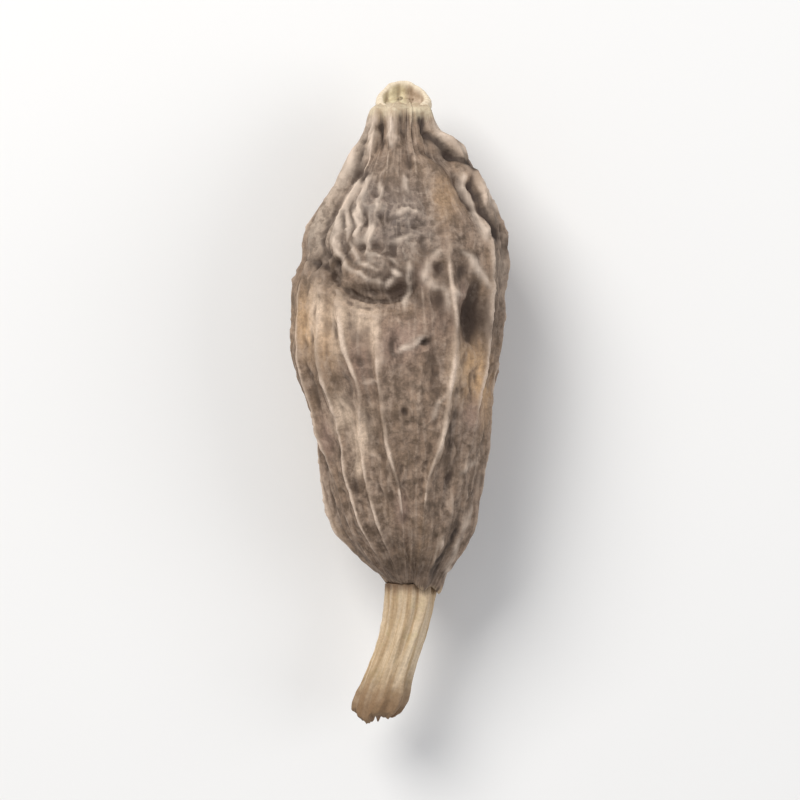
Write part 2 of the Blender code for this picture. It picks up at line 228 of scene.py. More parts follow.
# %% [markdown]
# ## The husk's outline
#
# The husk is the ribbed shell round the seeds. Seen from above it is widest three fifths of the way
# up, and it bulges more to the left than to the right. Four half-sizes at each station, to the left,
# right, up and down, say all of that, and each quarter of a ring is a quarter of an ellipse.

# %% The husk's outline
HUSK_HEIGHT = [0.0, 0.8, 1.8, 3.2, 5.2, 8.0, 11.0, 14.0, 17.0, 20.5, 22.8, 25.0, 27.2, 29.0]
HUSK_LEFT = [1.55, 2.2, 3.1, 4.15, 4.85, 5.35, 6.1, 7.1, 7.1, 6.1, 5.25, 3.9, 2.35, 1.6]
HUSK_RIGHT = [1.6, 2.35, 3.1, 3.8, 4.3, 4.75, 5.0, 5.5, 6.0, 6.15, 5.5, 4.15, 2.05, 1.55]
HUSK_UP = [1.55, 2.3, 3.15, 4.05, 4.85, 5.5, 6.05, 6.35, 6.4, 5.9, 5.05, 3.8, 2.35, 1.6]
HUSK_DOWN = [1.55, 2.2, 3.05, 3.9, 4.7, 5.4, 5.9, 6.1, 6.1, 5.75, 4.9, 3.7, 2.35, 1.6]
HUSK_LENGTH = HUSK_HEIGHT[-1]


def outline(angle, height):
    """Half-sizes of the plain husk along X and Z at each angle: four quarter ellipses."""
    right, left = curve(height, HUSK_HEIGHT, HUSK_RIGHT), curve(height, HUSK_HEIGHT, HUSK_LEFT)
    above, below = curve(height, HUSK_HEIGHT, HUSK_UP), curve(height, HUSK_HEIGHT, HUSK_DOWN)
    return np.where(np.cos(angle) > 0, right, left), np.where(np.sin(angle) > 0, above, below)


print("the outline's widest half-sizes:", max(HUSK_LEFT), max(HUSK_RIGHT), max(HUSK_UP), max(HUSK_DOWN))

# %% [markdown]
# ## The ribs
#
# Eighteen veins run along the husk, about 1.8 mm apart at the waist. They stand up as thin ribs,
# because the flesh between them has dried and shrunk. They wander, fade and return. The columns of
# the grid follow them, so that each crest lies on its own column and stays sharp. On the upper side
# each rib has an angle and a strength at eleven heights, as on the real pod. The others carry on in
# the same rhythm, with one angle each and a strength that rises and falls in a slow wave.

# %% The ribs
PATH_HEIGHT = [0, 3, 6, 9, 12, 15, 18, 21, 24, 27, 29]
UPPER_PATHS = [
    [25, 22, 19, 16, 14, 14, 14, 14, 15, 17, 20],
    [62, 56, 48, 40, 36, 32, 34, 36, 34, 36, 40],
    [80, 80, 77, 68, 63, 61, 64, 64, 63, 64, 68],
    [90, 90, 88, 84, 82, 80, 80, 82, 82, 78, 73],
    [98, 97, 98, 104, 105, 104, 104, 105, 107, 108, 108],
    [112, 115, 120, 123, 116, 120, 127, 124, 122, 121, 121],
    [125, 129, 134, 137, 136, 137, 138, 136, 134, 134, 134],
    [140, 145, 150, 155, 156, 156, 156, 155, 153, 150, 150],
]
UPPER_STRENGTHS = [
    [0.9, 0.9, 0.8, 0.7, 0.8, 0.6, 0.8, 0.9, 1.0, 0.8, 0.5],
    [0.8, 0.8, 0.6, 0.4, 0.9, 0.9, 0.8, 0.8, 1.0, 0.6, 0.5],
    [0.9, 0.4, 0.8, 1.1, 1.1, 0.9, 0.9, 0.5, 0.2, 0.3, 0.4],
    [0.8, 0.4, 0.1, 0.1, 0.3, 0.3, 0.5, 0.2, 0.2, 1.0, 1.1],
    [0.7, 0.4, 1.0, 0.9, 0.8, 0.9, 0.3, 0.1, 0.1, 1.0, 1.1],
    [0.9, 1.0, 1.0, 0.5, 1.0, 1.2, 0.9, 0.4, 0.3, 0.5, 0.6],
    [0.7, 1.0, 1.0, 0.7, 1.0, 1.0, 0.6, 0.8, 1.0, 0.9, 0.6],
    [0.7, 0.7, 0.7, 0.9, 0.9, 0.7, 0.6, 0.5, 0.5, 0.6, 0.5],
]
LOWER_DEGREES = [174, 195, 214, 236, 255, 274, 293, 315, 335, 355]
LOWER_STRENGTHS = [1, 0.8, 1.1, 0.7, 1, 0.8, 1.1, 0.7, 1, 0.6]
RIB_COUNT = len(UPPER_PATHS) + len(LOWER_DEGREES)
RIB_HEIGHT = 0.38
RIB_FADE, RIB_FADE_LENGTH, RIB_FADE_PHASE = 0.35, 2.9, 1.7
# A drift's size in radians, its waves round the pod, its length along it and its phase.
DRIFTS = [(0.05, 2, 4.0, 0.0), (0.035, 3, -2.3, 1.0), (0.02, 5, 1.4, 0.0)]
BUNCHING, BUNCHED_BELOW = 0.24, (2.5, 10)
UPPER_STEADINESS = 0.7


def along_ribs(rows, height):
    """A value for each ring and rib: a smooth curve through the stations of every rib."""
    return np.stack([curve(height[:, 0], PATH_HEIGHT, row) for row in rows], axis=1)


def rib_angle(rib, height):
    """Angle of a rib number, whole or between two ribs, at each height."""
    lower_paths = [[degrees] * len(PATH_HEIGHT) for degrees in LOWER_DEGREES]
    paths = along_ribs(UPPER_PATHS + lower_paths, height)
    paths = np.concatenate([paths, paths[:, :1] + 360], axis=1)
    before = np.floor(rib[0]).astype(int)
    share = rib - before
    return np.radians(paths[:, before] * (1 - share) + paths[:, before + 1] * share)


def rib_presence(rib, height):
    """Strength of the nearest rib at each height."""
    phase = RIB_FADE_PHASE * np.arange(len(LOWER_STRENGTHS))[:, None]
    wave = np.sin(np.array(PATH_HEIGHT) / RIB_FADE_LENGTH + phase)
    lower_rows = np.array(LOWER_STRENGTHS)[:, None] * (1 - RIB_FADE + RIB_FADE * wave)
    rows = np.concatenate([UPPER_STRENGTHS, lower_rows])
    nearest = np.round(rib[0]).astype(int) % RIB_COUNT
    return along_ribs(rows, height)[:, nearest]


def wander(angle, height):
    """Sideways drift of the ribs, in radians: waves of size * sin(n angle + height / length + phase).
    On the belly the ribs also bunch near the base."""
    drift = 0
    for size, count, length, phase in DRIFTS:
        drift = drift + size * np.sin(count * angle + height / length + phase)
    bunching = BUNCHING * np.sin(2 * angle) * (1 - ease(height, *BUNCHED_BELOW))
    upper = ease(np.sin(angle), -0.2, 0.3)
    return drift * (1 - UPPER_STEADINESS * upper) + bunching * (1 - upper)


def ribs(rib, height, radius):
    """Height of the ribs: (0.5 + 0.5 cos(2 pi rib))^3, which peaks at whole rib numbers."""
    crest = (0.5 + 0.5 * np.cos(2 * math.pi * rib)) ** 3
    return RIB_HEIGHT * crest * rib_presence(rib, height) * np.clip(radius / 6, 0.25, 1)


print(RIB_COUNT, "ribs, up to", RIB_HEIGHT, "mm high")

# %% [markdown]
# ## Dents, folds and the sagging shoulder
#
# A dried pod is never round. Soft dents show where the flesh has sunk, and the deepest is on the
# right of the upper side. Thick folds run down from the tip. Across the upper side the shoulder has
# sagged, which left a crease that bows down towards the middle. Each is a bell or a few bells, and
# the depths and places are those of the CAD model.

# %% Dents, folds and the sagging shoulder
# A dent's height, its angle in degrees, its half-length and half-width, and its depth.
DENTS = [
    (16.5, 46, 1.6, 0.85, 0.95),
    (20.6, 96, 2.6, 2.0, 0.40),
    (13.6, 72, 1.2, 0.8, 0.25),
    (8.6, 118, 3.6, 1.0, 0.30),
    (7.0, 55, 3.0, 0.9, 0.30),
    (12.5, 188, 3.4, 1.4, 0.55),
    (20.0, 222, 2.4, 1.5, 0.55),
    (18.5, 2, 2.2, 1.2, 0.55),
    (9.0, 338, 3.2, 1.3, 0.50),
    (24.0, 300, 1.8, 1.2, 0.45),
    (6.0, 245, 2.4, 1.3, 0.40),
]
# A fold's angle at the tip and at its foot, in degrees, its foot's height, half-width and height.
FOLDS = [
    (40, 28, 23.0, 0.65, 0.80),
    (150, 160, 21.8, 0.65, 0.60),
    (101, 97, 25.6, 0.45, 0.45),
    (212, 204, 22.5, 0.65, 0.60),
    (290, 300, 22.0, 0.65, 0.60),
]
FOLD_CREASE = 0.55
FLAP_FROM, FLAP_TO = (1.0, 27.3), (4.1, 25.4)
FLAP_HEIGHT, FLAP_HALF_WIDTH = 0.62, 0.6
FLAP_CREASE, FLAP_CREASE_HALF_WIDTH = 0.55, 0.3
SAG_MIDDLE, SAG_RADIUS = (-1.6, 20.8), 3.4
SAG_DEPTH, SAG_HALF_WIDTH = 0.4, 0.55
SAG_SWELLING = 0.25


def hollows(angle, height, radius):
    """Depth of the dents: for each, a bell along the pod times a bell across it."""
    depth = 0
    for at, degrees, half_length, half_width, deep in DENTS:
        across = turn_between(angle, math.radians(degrees)) * radius
        depth = depth + deep * bell(height - at, half_length) * bell(across, half_width)
    return depth


def folds(angle, height, radius):
    """Height of the folds: a bell across each fold's path, less a narrower one for its crease."""
    rise = 0
    for tip, foot, foot_height, half_width, high in FOLDS:
        share = (height - foot_height) / (HUSK_LENGTH - foot_height)
        centre = np.radians(foot + (tip - foot) * np.clip(share, 0, 1))
        across = turn_between(angle, centre) * radius
        inner = half_width * (1.6 if math.cos(math.radians(foot)) > 0 else -1.6)
        along = ease(share, -0.4, 0.2) * (1 - 0.7 * ease(share, 0.5, 0.95))
        body = bell(across, half_width) - FOLD_CREASE * bell(across - inner, half_width * 0.75)
        rise = rise + high * along * body
    return rise


def beside_line(side, height, start, end):
    """Distances along and to the left of a line on the upper side, as seen from above, and its length."""
    dx, dy = end[0] - start[0], end[1] - start[1]
    length = math.hypot(dx, dy)
    along = ((side - start[0]) * dx + (height - start[1]) * dy) / length
    across = ((height - start[1]) * dx - (side - start[0]) * dy) / length
    return along, across, length


def flap(angle, height, radius):
    """The slanting flap: a bell beside its edge and a narrower crease under the edge."""
    along, across, length = beside_line(radius * np.cos(angle), height, FLAP_FROM, FLAP_TO)
    within = ease(along, -0.2, 1.6) * (1 - ease(along, length - 0.5, length + 0.8))
    body = FLAP_HEIGHT * bell(across - FLAP_HALF_WIDTH, FLAP_HALF_WIDTH)
    crease = FLAP_CREASE * bell(across + FLAP_CREASE_HALF_WIDTH, FLAP_CREASE_HALF_WIDTH)
    return within * (body - crease) * ease(np.sin(angle), -0.5, 0.0)


def beyond_sag(angle, height, radius):
    """Distance outside the bowed crease's arc, and how much of the crease there is at each point."""
    side, below = radius * np.cos(angle) - SAG_MIDDLE[0], SAG_MIDDLE[1] - height
    reach = ease(below, -0.4, 1.4) * (1 - ease(side, 1.8, 2.9)) * ease(np.sin(angle), 0, 0.3)
    return np.hypot(side, below) - SAG_RADIUS, reach


def sag(angle, height, radius):
    """The bowed crease, with a swollen edge inside its arc."""
    outside, reach = beyond_sag(angle, height, radius)
    return reach * (SAG_SWELLING * bell(outside + 1.4, 1.0) - SAG_DEPTH * bell(outside, SAG_HALF_WIDTH))


print(len(DENTS), "dents and", len(FOLDS), "folds, and the flap is", FLAP_HEIGHT, "mm high")

# %% [markdown]
# ## The whole relief of the CAD model
#
# The parts above are added up with three shallow furrows, where the valves of the fruit meet, and
# with lumps of noise. On the belly everything fades, because the pod rests there on a flat spot.

# %% The coarse relief
VALVE_DEPTH, VALVE_ANGLE = 0.28, math.radians(93)
# The lumps' height, their cells round and along the pod, and the seed.
LUMPS = [(0.16, 14, 9, 3), (0.10, 26, 16, 4)]
BELLY_HEIGHT, BELLY_HALF_LENGTH, BELLY_HALF_WIDTH = 15.5, 6.5, 3.2
BELLY_FADE = 0.85


def belly(angle, height, radius):
    """1 in the middle of the belly and 0 away from it."""
    across = turn_between(angle, math.radians(270)) * radius
    return bell(across, BELLY_HALF_WIDTH) * bell(height - BELLY_HEIGHT, BELLY_HALF_LENGTH)


def coarse_relief(rib, angle, height, radius):
    """How far the CAD model's skin stands out from the plain outline, in millimetres."""
    turn, share = angle / (2 * math.pi), height / HUSK_LENGTH
    valves = -VALVE_DEPTH * (0.5 + 0.5 * np.cos(3 * (angle - VALVE_ANGLE))) ** 3
    lumps = sum(high * noise(turn, share, *cells) for high, *cells in LUMPS)
    rise = ribs(rib, height, radius) + sag(angle, height, radius)
    rise += folds(angle, height, radius) + flap(angle, height, radius) - hollows(angle, height, radius)
    rise += (valves + lumps) * np.clip(radius / 5, 0, 1)
    ends = ease(height, 0.0, 1.2) * (1 - 0.6 * ease(height, HUSK_LENGTH - 0.8, HUSK_LENGTH))
    return rise * (1 - BELLY_FADE * belly(angle, height, radius)) * ends


print("on the belly", round(1 - BELLY_FADE, 2), "of the relief is left")

# %% [markdown]
# ## Noise in space
#
# Cells round the pod are enough for broad lumps, but close up their rows and columns would show. The
# fine relief uses gradient noise instead, which lives in space: every corner of a cubic lattice
# has a random slope, and between the corners the slopes are blended. There is no seam, because a
# point of the skin has only one place, and stretched places give stretched bumps.

# %% Noise in space
BUMPS_SCALE = 1.7


def bumps(place, seed):
    """Gradient noise, about -1 to 1: the sum over a cube's corners of weight * slope . (place - corner)."""
    random = np.random.default_rng(seed)
    order = random.permutation(256)
    slopes = random.normal(size=(256, 3))
    slopes /= np.linalg.norm(slopes, axis=1, keepdims=True)
    corner = np.floor(place).astype(int)
    inside = place - corner
    blend = inside**3 * (inside * (inside * 6 - 15) + 10)
    total = 0
    for offset in np.ndindex(2, 2, 2):
        at = (corner + offset) % 256
        picked = order[(order[(order[at[..., 0]] + at[..., 1]) % 256] + at[..., 2]) % 256]
        weight = np.prod(np.where(offset, blend, 1 - blend), axis=-1)
        total = total + weight * np.sum(slopes[picked] * (inside - offset), axis=-1)
    return BUMPS_SCALE * total


print("noise at two places:", bumps(np.array([[0.5, 0.5, 0.5], [2.2, 0.1, 0.7]]), 1).round(3))

# %% [markdown]
# ## Fine veins and wrinkles
#
# Close up, the skin between the ribs is a net of hair-thin veins over fine wrinkles. A displacement
# texture could draw them, but raised points catch the light from every side and survive export. The
# trick is old: where a smooth noise crosses zero, there is a wandering line that splits and joins
# like a vein. The distance to that line is the noise divided by its slope, which gives every vein
# the same width. Places squeezed along the pod make lengthwise veins, and the others make a net.

# %% Fine veins
THREAD_HALF_WIDTH, LINK_HALF_WIDTH = 0.11, 0.12
PLACE_RADIUS, STRAY, STRAY_PER_MM = 5, 0.6, 0.7


def line_net(waves, across_step, along_step, half_width):
    """1 on the lines where the noise waves is zero and 0 away from them: a bell of |waves| / slope."""
    across = (np.roll(waves, -1, axis=1) - np.roll(waves, 1, axis=1)) / (2 * across_step)
    along = np.gradient(waves, axis=0) / along_step
    return bell(waves / np.sqrt(across**2 + along**2 + 0.02), half_width)


def soften(values, columns, rings):
    """Local average over a window of the grid, with weights that fall off evenly."""
    total, weight = 0, 0
    padded = np.pad(values, ((rings, rings), (0, 0)), mode="edge")
    for shift in range(-rings, rings + 1):
        share = rings + 1 - abs(shift)
        total = total + share * padded[rings + shift:rings + shift + len(values)]
        weight += share
    values, total, weight = total / weight, 0, 0
    for shift in range(-columns, columns + 1):
        share = columns + 1 - abs(shift)
        total = total + share * np.roll(values, shift, axis=1)
        weight += share
    return total / weight


def skin_place(angle, height):
    """A place on a cylinder for each point of the skin, in millimetres, moved a little by noise."""
    round_part = [PLACE_RADIUS * np.cos(angle), PLACE_RADIUS * np.sin(angle)]
    place = np.stack([*round_part, height + 0 * angle], axis=2)
    return place + STRAY * np.stack([bumps(place * STRAY_PER_MM, seed) for seed in (11, 12, 13)], axis=2)


def vein_net(place, shoulder, steps):
    """1 on lengthwise threads and on the links between them. Patches of noise hold one or the other,
    and the shoulder holds both."""
    patches = ease(bumps(place * 0.35, 14), -0.25, 0.35)
    threads = line_net(bumps(place * [1.0, 1.0, 0.16], 15), *steps, THREAD_HALF_WIDTH)
    links = line_net(bumps(place * [0.95, 0.95, 0.75], 16), *steps, LINK_HALF_WIDTH)
    return threads * (0.35 + 0.65 * patches), links * np.maximum(0.5 * (1 - patches), shoulder)


print("threads and links are", 2 * THREAD_HALF_WIDTH, "and", 2 * LINK_HALF_WIDTH, "mm wide")

# %% [markdown]
# ## Pleats, folds and wrinkles
#
# Where the shoulder has sagged, its skin was too long for the place that was left, so it lies in
# deep soft folds. The absolute value of a noise has a sharp valley wherever the noise crosses zero,
# and turned upside down that is a fold. Beside the bowed crease the folds are regular pleats, which
# a cosine of the distance makes. Fibres and wrinkles are plain noise at two or three scales.

# %% Pleats, folds and wrinkles
SHOULDER_HEIGHT, SHOULDER_HALF_LENGTH = 21.8, 3.8
SHOULDER_ANGLE, SHOULDER_HALF_ANGLE = math.radians(112), 0.85
PLEAT_SPACING, PLEAT_REACH = 0.62, 0.95
THREAD_HEIGHT, LINK_HEIGHT, SHOULDER_LINK_HEIGHT = 0.09, 0.08, 0.12
PLEAT_HEIGHT, FIBRE_HEIGHT, WRINKLE_HEIGHT, FOLDED_HEIGHT = 0.13, 0.04, 0.07, 0.22


def pleats(place, angle, height, radius):
    """Small pleats beside the bowed crease: -cos(2 pi distance / spacing), shaken by noise."""
    outside, reach = beyond_sag(angle, height, radius)
    turns = outside / PLEAT_SPACING + 0.25 * bumps(place * 0.6, 20)
    return -np.cos(2 * math.pi * turns) * reach * bell(outside - 0.1, PLEAT_REACH)


def crumple(place, angle, shoulder):
    """Folds of the sagging shoulder: 0.6 - 2.2 |noise|, lengthwise to its left and curled to its right."""
    lengthwise = np.abs(bumps(place * [1.1, 1.1, 0.3], 24))
    curled = np.abs(bumps(place * [0.95, 0.95, 0.9], 26))
    right = ease(np.cos(angle), -0.35, 0.0)
    return shoulder * (0.6 - 2.2 * ((1 - right) * lengthwise + right * curled))


def fine_relief(place, angle, height, radius, steps):
    """Veins, pleats, fibres, wrinkles and folds, in millimetres, on top of the coarse relief."""
    aside = turn_between(angle, SHOULDER_ANGLE)
    shoulder = bell(height - SHOULDER_HEIGHT, SHOULDER_HALF_LENGTH) * bell(aside, SHOULDER_HALF_ANGLE)
    threads, links = vein_net(place, shoulder, steps)
    folded = crumple(place, angle, shoulder)
    fibres = bumps(place * [2.6, 2.6, 0.5], 17)
    wrinkles = bumps(place * [1.3, 1.3, 1.0], 18) + 0.5 * bumps(place * [2.6, 2.6, 1.8], 19)
    rise = THREAD_HEIGHT * threads + (LINK_HEIGHT + SHOULDER_LINK_HEIGHT * shoulder) * links
    rise = rise + PLEAT_HEIGHT * pleats(place, angle, height, radius)
    rise = rise + FIBRE_HEIGHT * fibres + WRINKLE_HEIGHT * wrinkles + FOLDED_HEIGHT * folded
    return rise * np.clip(radius / 5, 0.2, 1), np.maximum(threads, 0.8 * links), folded


print("pleats lie every", PLEAT_SPACING, "mm and folds are up to", FOLDED_HEIGHT, "mm high")

# %% [markdown]
# ## Single marks
#
# What makes this pod this one are its marks: a slanting nick with a pit, a bowl of curved wrinkles
# with pale flecks, furrows beside the folds, and small round knots. A short line is a bell of
# the distance to it, as seen from above, and each has a width, a height and a tone. A dark tone in the
# furrows, the grooves and the pit is painted shade, and the knots are darkened, partly with painted shade in
# their dips. The knots are small rings. Some lie on the sides that the camera doesn't see, so that these are
# finished too.

# %% Lines and knots
# A line's two ends as (side, height), its half-width, how high it stands and its tone; a negative tone is
# painted shade in a groove.
LINES = [
    ((-0.85, 14.1), (1.4, 15.35), 0.15, 0.16, 1.1),
    ((-2.9, 12.4), (-1.7, 12.5), 0.12, 0.08, 0.5),
    ((1.3, 10.0), (2.1, 11.6), 0.14, 0.08, 0.6),
    ((3.0, 6.7), (4.3, 8.0), 0.15, 0.06, 0.4),
    ((3.85, 5.0), (2.0, 0.2), 0.15, 0.08, 0.7),
    ((2.1, 3.3), (1.3, 1.0), 0.13, 0.06, 0.5),
    ((0.9, 18.6), (1.5, 19.7), 0.24, 0.12, 0.7),
    ((1.3, 19.5), (2.3, 20.5), 0.16, 0.08, 0.6),
    ((0.9, 18.7), (2.2, 18.1), 0.24, 0.10, 0.7),
    ((2.3, 18.4), (2.6, 16.6), 0.18, 0.10, 0.6),
    ((2.4, 18.0), (3.6, 17.7), 0.20, 0.10, 0.6),
    ((0.2, 19.7), (0.15, 18.4), 0.14, 0.10, 0.9),
    ((0.3, 18.4), (-0.2, 16.8), 0.15, 0.10, 0.9),
    ((-1.3, 18.15), (-0.75, 18.75), 0.12, 0.08, 0.9),
    ((-0.75, 19.2), (-0.4, 19.0), 0.14, 0.08, 1.2),
    ((-1.0, 20.0), (-0.6, 19.7), 0.12, 0.06, 0.7),
    ((-4.05, 20.4), (-3.95, 22.9), 0.18, 0.13, 1.5),
    ((-4.05, 22.3), (-2.7, 25.3), 0.18, 0.13, 1.5),
    ((-3.4, 21.0), (-3.45, 23.4), 0.14, 0.08, 1.0),
    ((-2.75, 21.0), (-2.95, 23.7), 0.18, 0.12, 1.4),
    ((-2.95, 23.2), (-2.1, 25.2), 0.15, 0.09, 1.0),
    ((-2.3, 20.4), (-1.8, 22.5), 0.17, 0.11, 1.3),
    ((-1.75, 22.6), (-1.5, 24.8), 0.14, 0.07, 0.9),
    ((-3.7, 21.0), (-3.7, 23.2), 0.12, -0.08, -0.9),
    ((-3.1, 21.2), (-3.2, 23.6), 0.12, -0.08, -0.9),
    ((-2.5, 21.4), (-2.3, 23.4), 0.12, -0.08, -0.9),
    ((-4.3, 20.9), (-3.6, 19.4), 0.16, 0.11, 0.8),
    ((-3.8, 19.6), (-2.5, 18.8), 0.16, 0.12, 0.8),
    ((-2.9, 18.9), (-1.3, 18.4), 0.15, 0.12, 0.9),
    ((-3.3, 20.9), (-2.8, 19.7), 0.13, 0.09, 0.7),
    ((-3.0, 19.8), (-1.8, 19.3), 0.13, 0.08, 0.7),
    ((-2.4, 20.3), (-1.2, 19.9), 0.12, 0.08, 0.6),
    ((-3.8, 20.6), (-3.2, 19.5), 0.14, -0.12, -0.7),
    ((-3.3, 19.6), (-2.2, 19.0), 0.14, -0.12, -0.7),
    ((-2.3, 19.0), (-1.2, 18.85), 0.14, -0.12, -0.7),
    ((-0.15, 25.1), (0.2, 24.0), 0.14, 0.12, 0.8),
    ((-0.45, 22.6), (0.2, 23.1), 0.13, 0.12, 0.8),
    ((0.2, 23.1), (0.95, 22.6), 0.13, 0.12, 0.8),
    ((-1.1, 20.9), (0.9, 21.4), 0.14, 0.12, 0.7),
    ((2.8, 25.6), (4.0, 23.1), 0.22, 0.20, 1.1),
    ((3.9, 23.3), (4.8, 21.0), 0.22, 0.20, 1.1),
    ((3.8, 20.3), (5.15, 18.1), 0.22, 0.12, 0.8),
    ((3.4, 20.6), (4.1, 19.5), 0.15, 0.07, 0.6),
    ((4.3, 25.5), (5.8, 22.6), 0.24, 0.10, 1.0),
    ((-1.7, 29.4), (-4.4, 24.2), 0.30, 0.10, 1.0),
    ((-1.9, 27.9), (-2.9, 25.8), 0.13, -0.12, -0.7),
    ((-1.3, 29.0), (-2.2, 26.1), 0.17, 0.14, 1.0),
    ((-0.6, 29.4), (-0.76, 26.8), 0.26, 0.18, 1.1),
    ((0.5, 29.6), (0.45, 28.2), 0.15, 0.10, 0.7),
    ((1.55, 28.4), (2.3, 27.2), 0.22, 0.10, 0.9),
    ((2.3, 27.2), (4.0, 26.0), 0.25, 0.10, 0.9),
    ((1.03, 29.2), (1.12, 27.0), 0.22, -0.20, -1.2),
    ((0.9, 28.1), (2.5, 26.0), 0.24, -0.20, -1.0),
    ((0.9, 28.2), (2.6, 26.1), 0.11, -0.15, -2.5),
    ((1.6, 26.6), (4.6, 25.25), 0.24, -0.20, -1.0),
    ((2.1, 26.4), (4.6, 25.3), 0.11, -0.15, -2.5),
    ((3.5, 25.3), (5.5, 21.0), 0.24, -0.22, -1.0),
    ((3.5, 25.3), (5.5, 21.0), 0.12, -0.12, -2.0),
    ((-1.17, 28.6), (-1.3, 26.7), 0.18, -0.20, -1.4),
    ((-0.05, 29.2), (-0.05, 27.1), 0.15, -0.14, -0.7),
    ((-3.4, 24.6), (-2.2, 25.3), 0.18, -0.15, -0.9),
    ((-4.9, 20.6), (-4.1, 19.5), 0.17, -0.22, -1.0),
    ((-6.2, 20.1), (-4.7, 19.2), 0.17, -0.20, -1.0),
    ((-0.2, 21.5), (1.5, 22.3), 0.14, -0.12, -0.8),
    ((-0.55, 4.5), (-0.3, 3.8), 0.20, -0.08, -0.7),
    ((2.95, 3.6), (1.1, 0.1), 0.20, -0.15, -1.1),
]
PIT_AT, PIT_HALF_SIZES, PIT_DEPTH = (1.10, 14.85), (0.36, 0.24), 0.42
KNOT_RING, KNOT_RING_HALF_WIDTH, KNOT_DIP = 0.14, 0.13, 0.12
# A knot's height, its angle in degrees and its radius.
KNOTS = [(10.6, 92, 0.42), (21.3, 6, 0.45), (7.5, 200, 0.40), (19.0, 175, 0.35), (12.0, 262, 0.45)]
KNOTS += [(22.0, 330, 0.40), (5.5, 320, 0.35)]


def lines(side, height, angle, uneven):
    """Rise and tone of the short lines: a bell across each line, which thins out to both ends."""
    rise, tone = 0, 0
    for start, end, half_width, high, pale in LINES:
        along, across, length = beside_line(side, height, start, end)
        fade = min(0.4 * length, 0.8)
        taper = ease(along, -0.3, fade) * (1 - ease(along, length - fade, length + 0.3))
        body = taper * (0.8 + 0.5 * uneven) * bell(across, half_width * (0.5 + 0.6 * taper))
        rise = rise + high * body
        tone = tone + pale * body
    top = ease(np.sin(angle), -0.1, 0.25)
    return rise * top, tone * top


def knots(angle, height, radius):
    """Round scars: a ring-shaped rise round a shallow dip."""
    rise, scar = 0, 0
    for at, degrees, size in KNOTS:
        across = turn_between(angle, math.radians(degrees)) * radius
        distance = np.hypot(across, (height - at) * 0.9)
        ring = KNOT_RING * bell(distance - size, KNOT_RING_HALF_WIDTH)
        rise = rise + ring - KNOT_DIP * bell(distance, size * 0.7)
        scar = scar + bell(distance, size * 0.95)
    return rise, np.clip(scar, 0, 1)


print(len(LINES), "lines and", len(KNOTS), "knots")

# %% [markdown]
# ## Tints
#
# The brown of a dried husk is never even. The swollen shoulder has weathered to grey, cream and
# orange patches lie where light has bleached the skin, and some skin is pinkish. Dark patches are partly
# dark skin, in sunken cells between veins, and partly painted shade in the deep dent and along the bowed
# crease. Each tint is a few oval bells on the upper side, with its middle, its half-sizes and its strength.
# On the other sides noise spreads the same tints.

# %% Tints
# An oval's side, height, half-width, half-height and strength.
TINTS = {
    "grey": [(-0.6, 22.3, 2.6, 2.6, 1.0), (-2.9, 24.5, 1.0, 1.8, 0.7)],
    "dusty": [
        (-5.3, 21.8, 0.9, 2.2, 0.9),
        (-4.4, 23.8, 0.7, 1.4, 0.9),
        (-3.6, 25.7, 0.7, 1.1, 1.0),
        (-2.6, 27.2, 0.6, 1.0, 1.0),
        (-1.8, 28.4, 0.5, 0.9, 1.0),
        (-3.3, 22.4, 0.9, 1.6, 0.6),
        (2.0, 27.6, 0.5, 0.9, 0.8),
        (3.3, 26.5, 0.8, 0.6, 0.8),
        (5.2, 24.0, 0.5, 1.6, 0.7),
        (5.9, 19.5, 0.4, 2.0, 0.5),
    ],
    "warm": [
        (-6.2, 16.0, 0.6, 1.8, 0.9),
        (-4.8, 15.2, 0.9, 2.2, 0.6),
        (3.9, 13.2, 1.0, 1.9, 0.9),
        (4.6, 11.2, 0.5, 1.8, 0.5),
        (2.3, 23.6, 0.8, 1.5, 0.4),
    ],
    "pink": [
        (-5.0, 9.2, 0.5, 1.4, 0.9),
        (-2.8, 13.8, 1.2, 1.6, 0.6),
        (-0.5, 14.9, 1.3, 1.3, 0.8),
        (1.2, 18.8, 0.6, 0.6, 0.9),
        (3.4, 17.7, 0.5, 0.7, 0.9),
        (3.9, 10.5, 0.6, 1.0, 0.8),
        (-0.5, 4.6, 0.4, 1.0, 0.8),
        (2.0, 16.0, 1.5, 1.5, 0.4),
    ],
    "pale": [
        (-5.5, 16.6, 0.5, 1.6, 1.0),
        (-4.2, 16.0, 0.5, 1.8, 1.0),
        (-2.8, 16.4, 0.7, 1.2, 0.7),
        (-2.0, 15.2, 0.3, 1.6, 0.8),
        (2.9, 13.2, 0.4, 1.6, 0.5),
        (-2.8, 9.3, 0.6, 1.3, 1.1),
        (-4.1, 10.6, 0.6, 1.0, 1.0),
        (-3.0, 7.2, 0.25, 0.5, 0.8),
        (1.45, 18.7, 0.45, 0.5, 0.45),
        (3.0, 17.7, 0.35, 0.6, 0.45),
    ],
    # The dark tint is partly dark skin and partly painted shade in the deep dent and along the bowed crease.
    "dark": [
        (4.2, 16.3, 1.25, 1.35, 1.1),
        (-0.8, 22.4, 3.2, 3.2, 0.14),
        (-5.0, 15.0, 2.2, 5.0, 0.12),
        (0.6, 18.6, 3.4, 1.2, 0.45),
        (-4.8, 19.4, 1.1, 0.7, 0.5),
        (-0.6, 18.4, 1.0, 0.8, 1.0),
        (-2.6, 17.9, 1.2, 0.4, 0.6),
        (0.2, 0.9, 1.9, 0.9, 0.5),
        (1.95, 19.3, 0.4, 0.4, 0.8),
        (2.0, 17.1, 0.5, 0.9, 0.7),
        (3.45, 19.1, 0.35, 0.4, 0.7),
        (0.8, 17.1, 0.3, 0.6, 0.5),
        (-3.3, 6.0, 0.3, 0.5, 0.7),
        (-3.0, 25.3, 0.5, 0.3, 0.8),
        (6.3, 21.0, 0.4, 0.6, 1.0),
    ],
}
DARK_DEPTH = 0.2


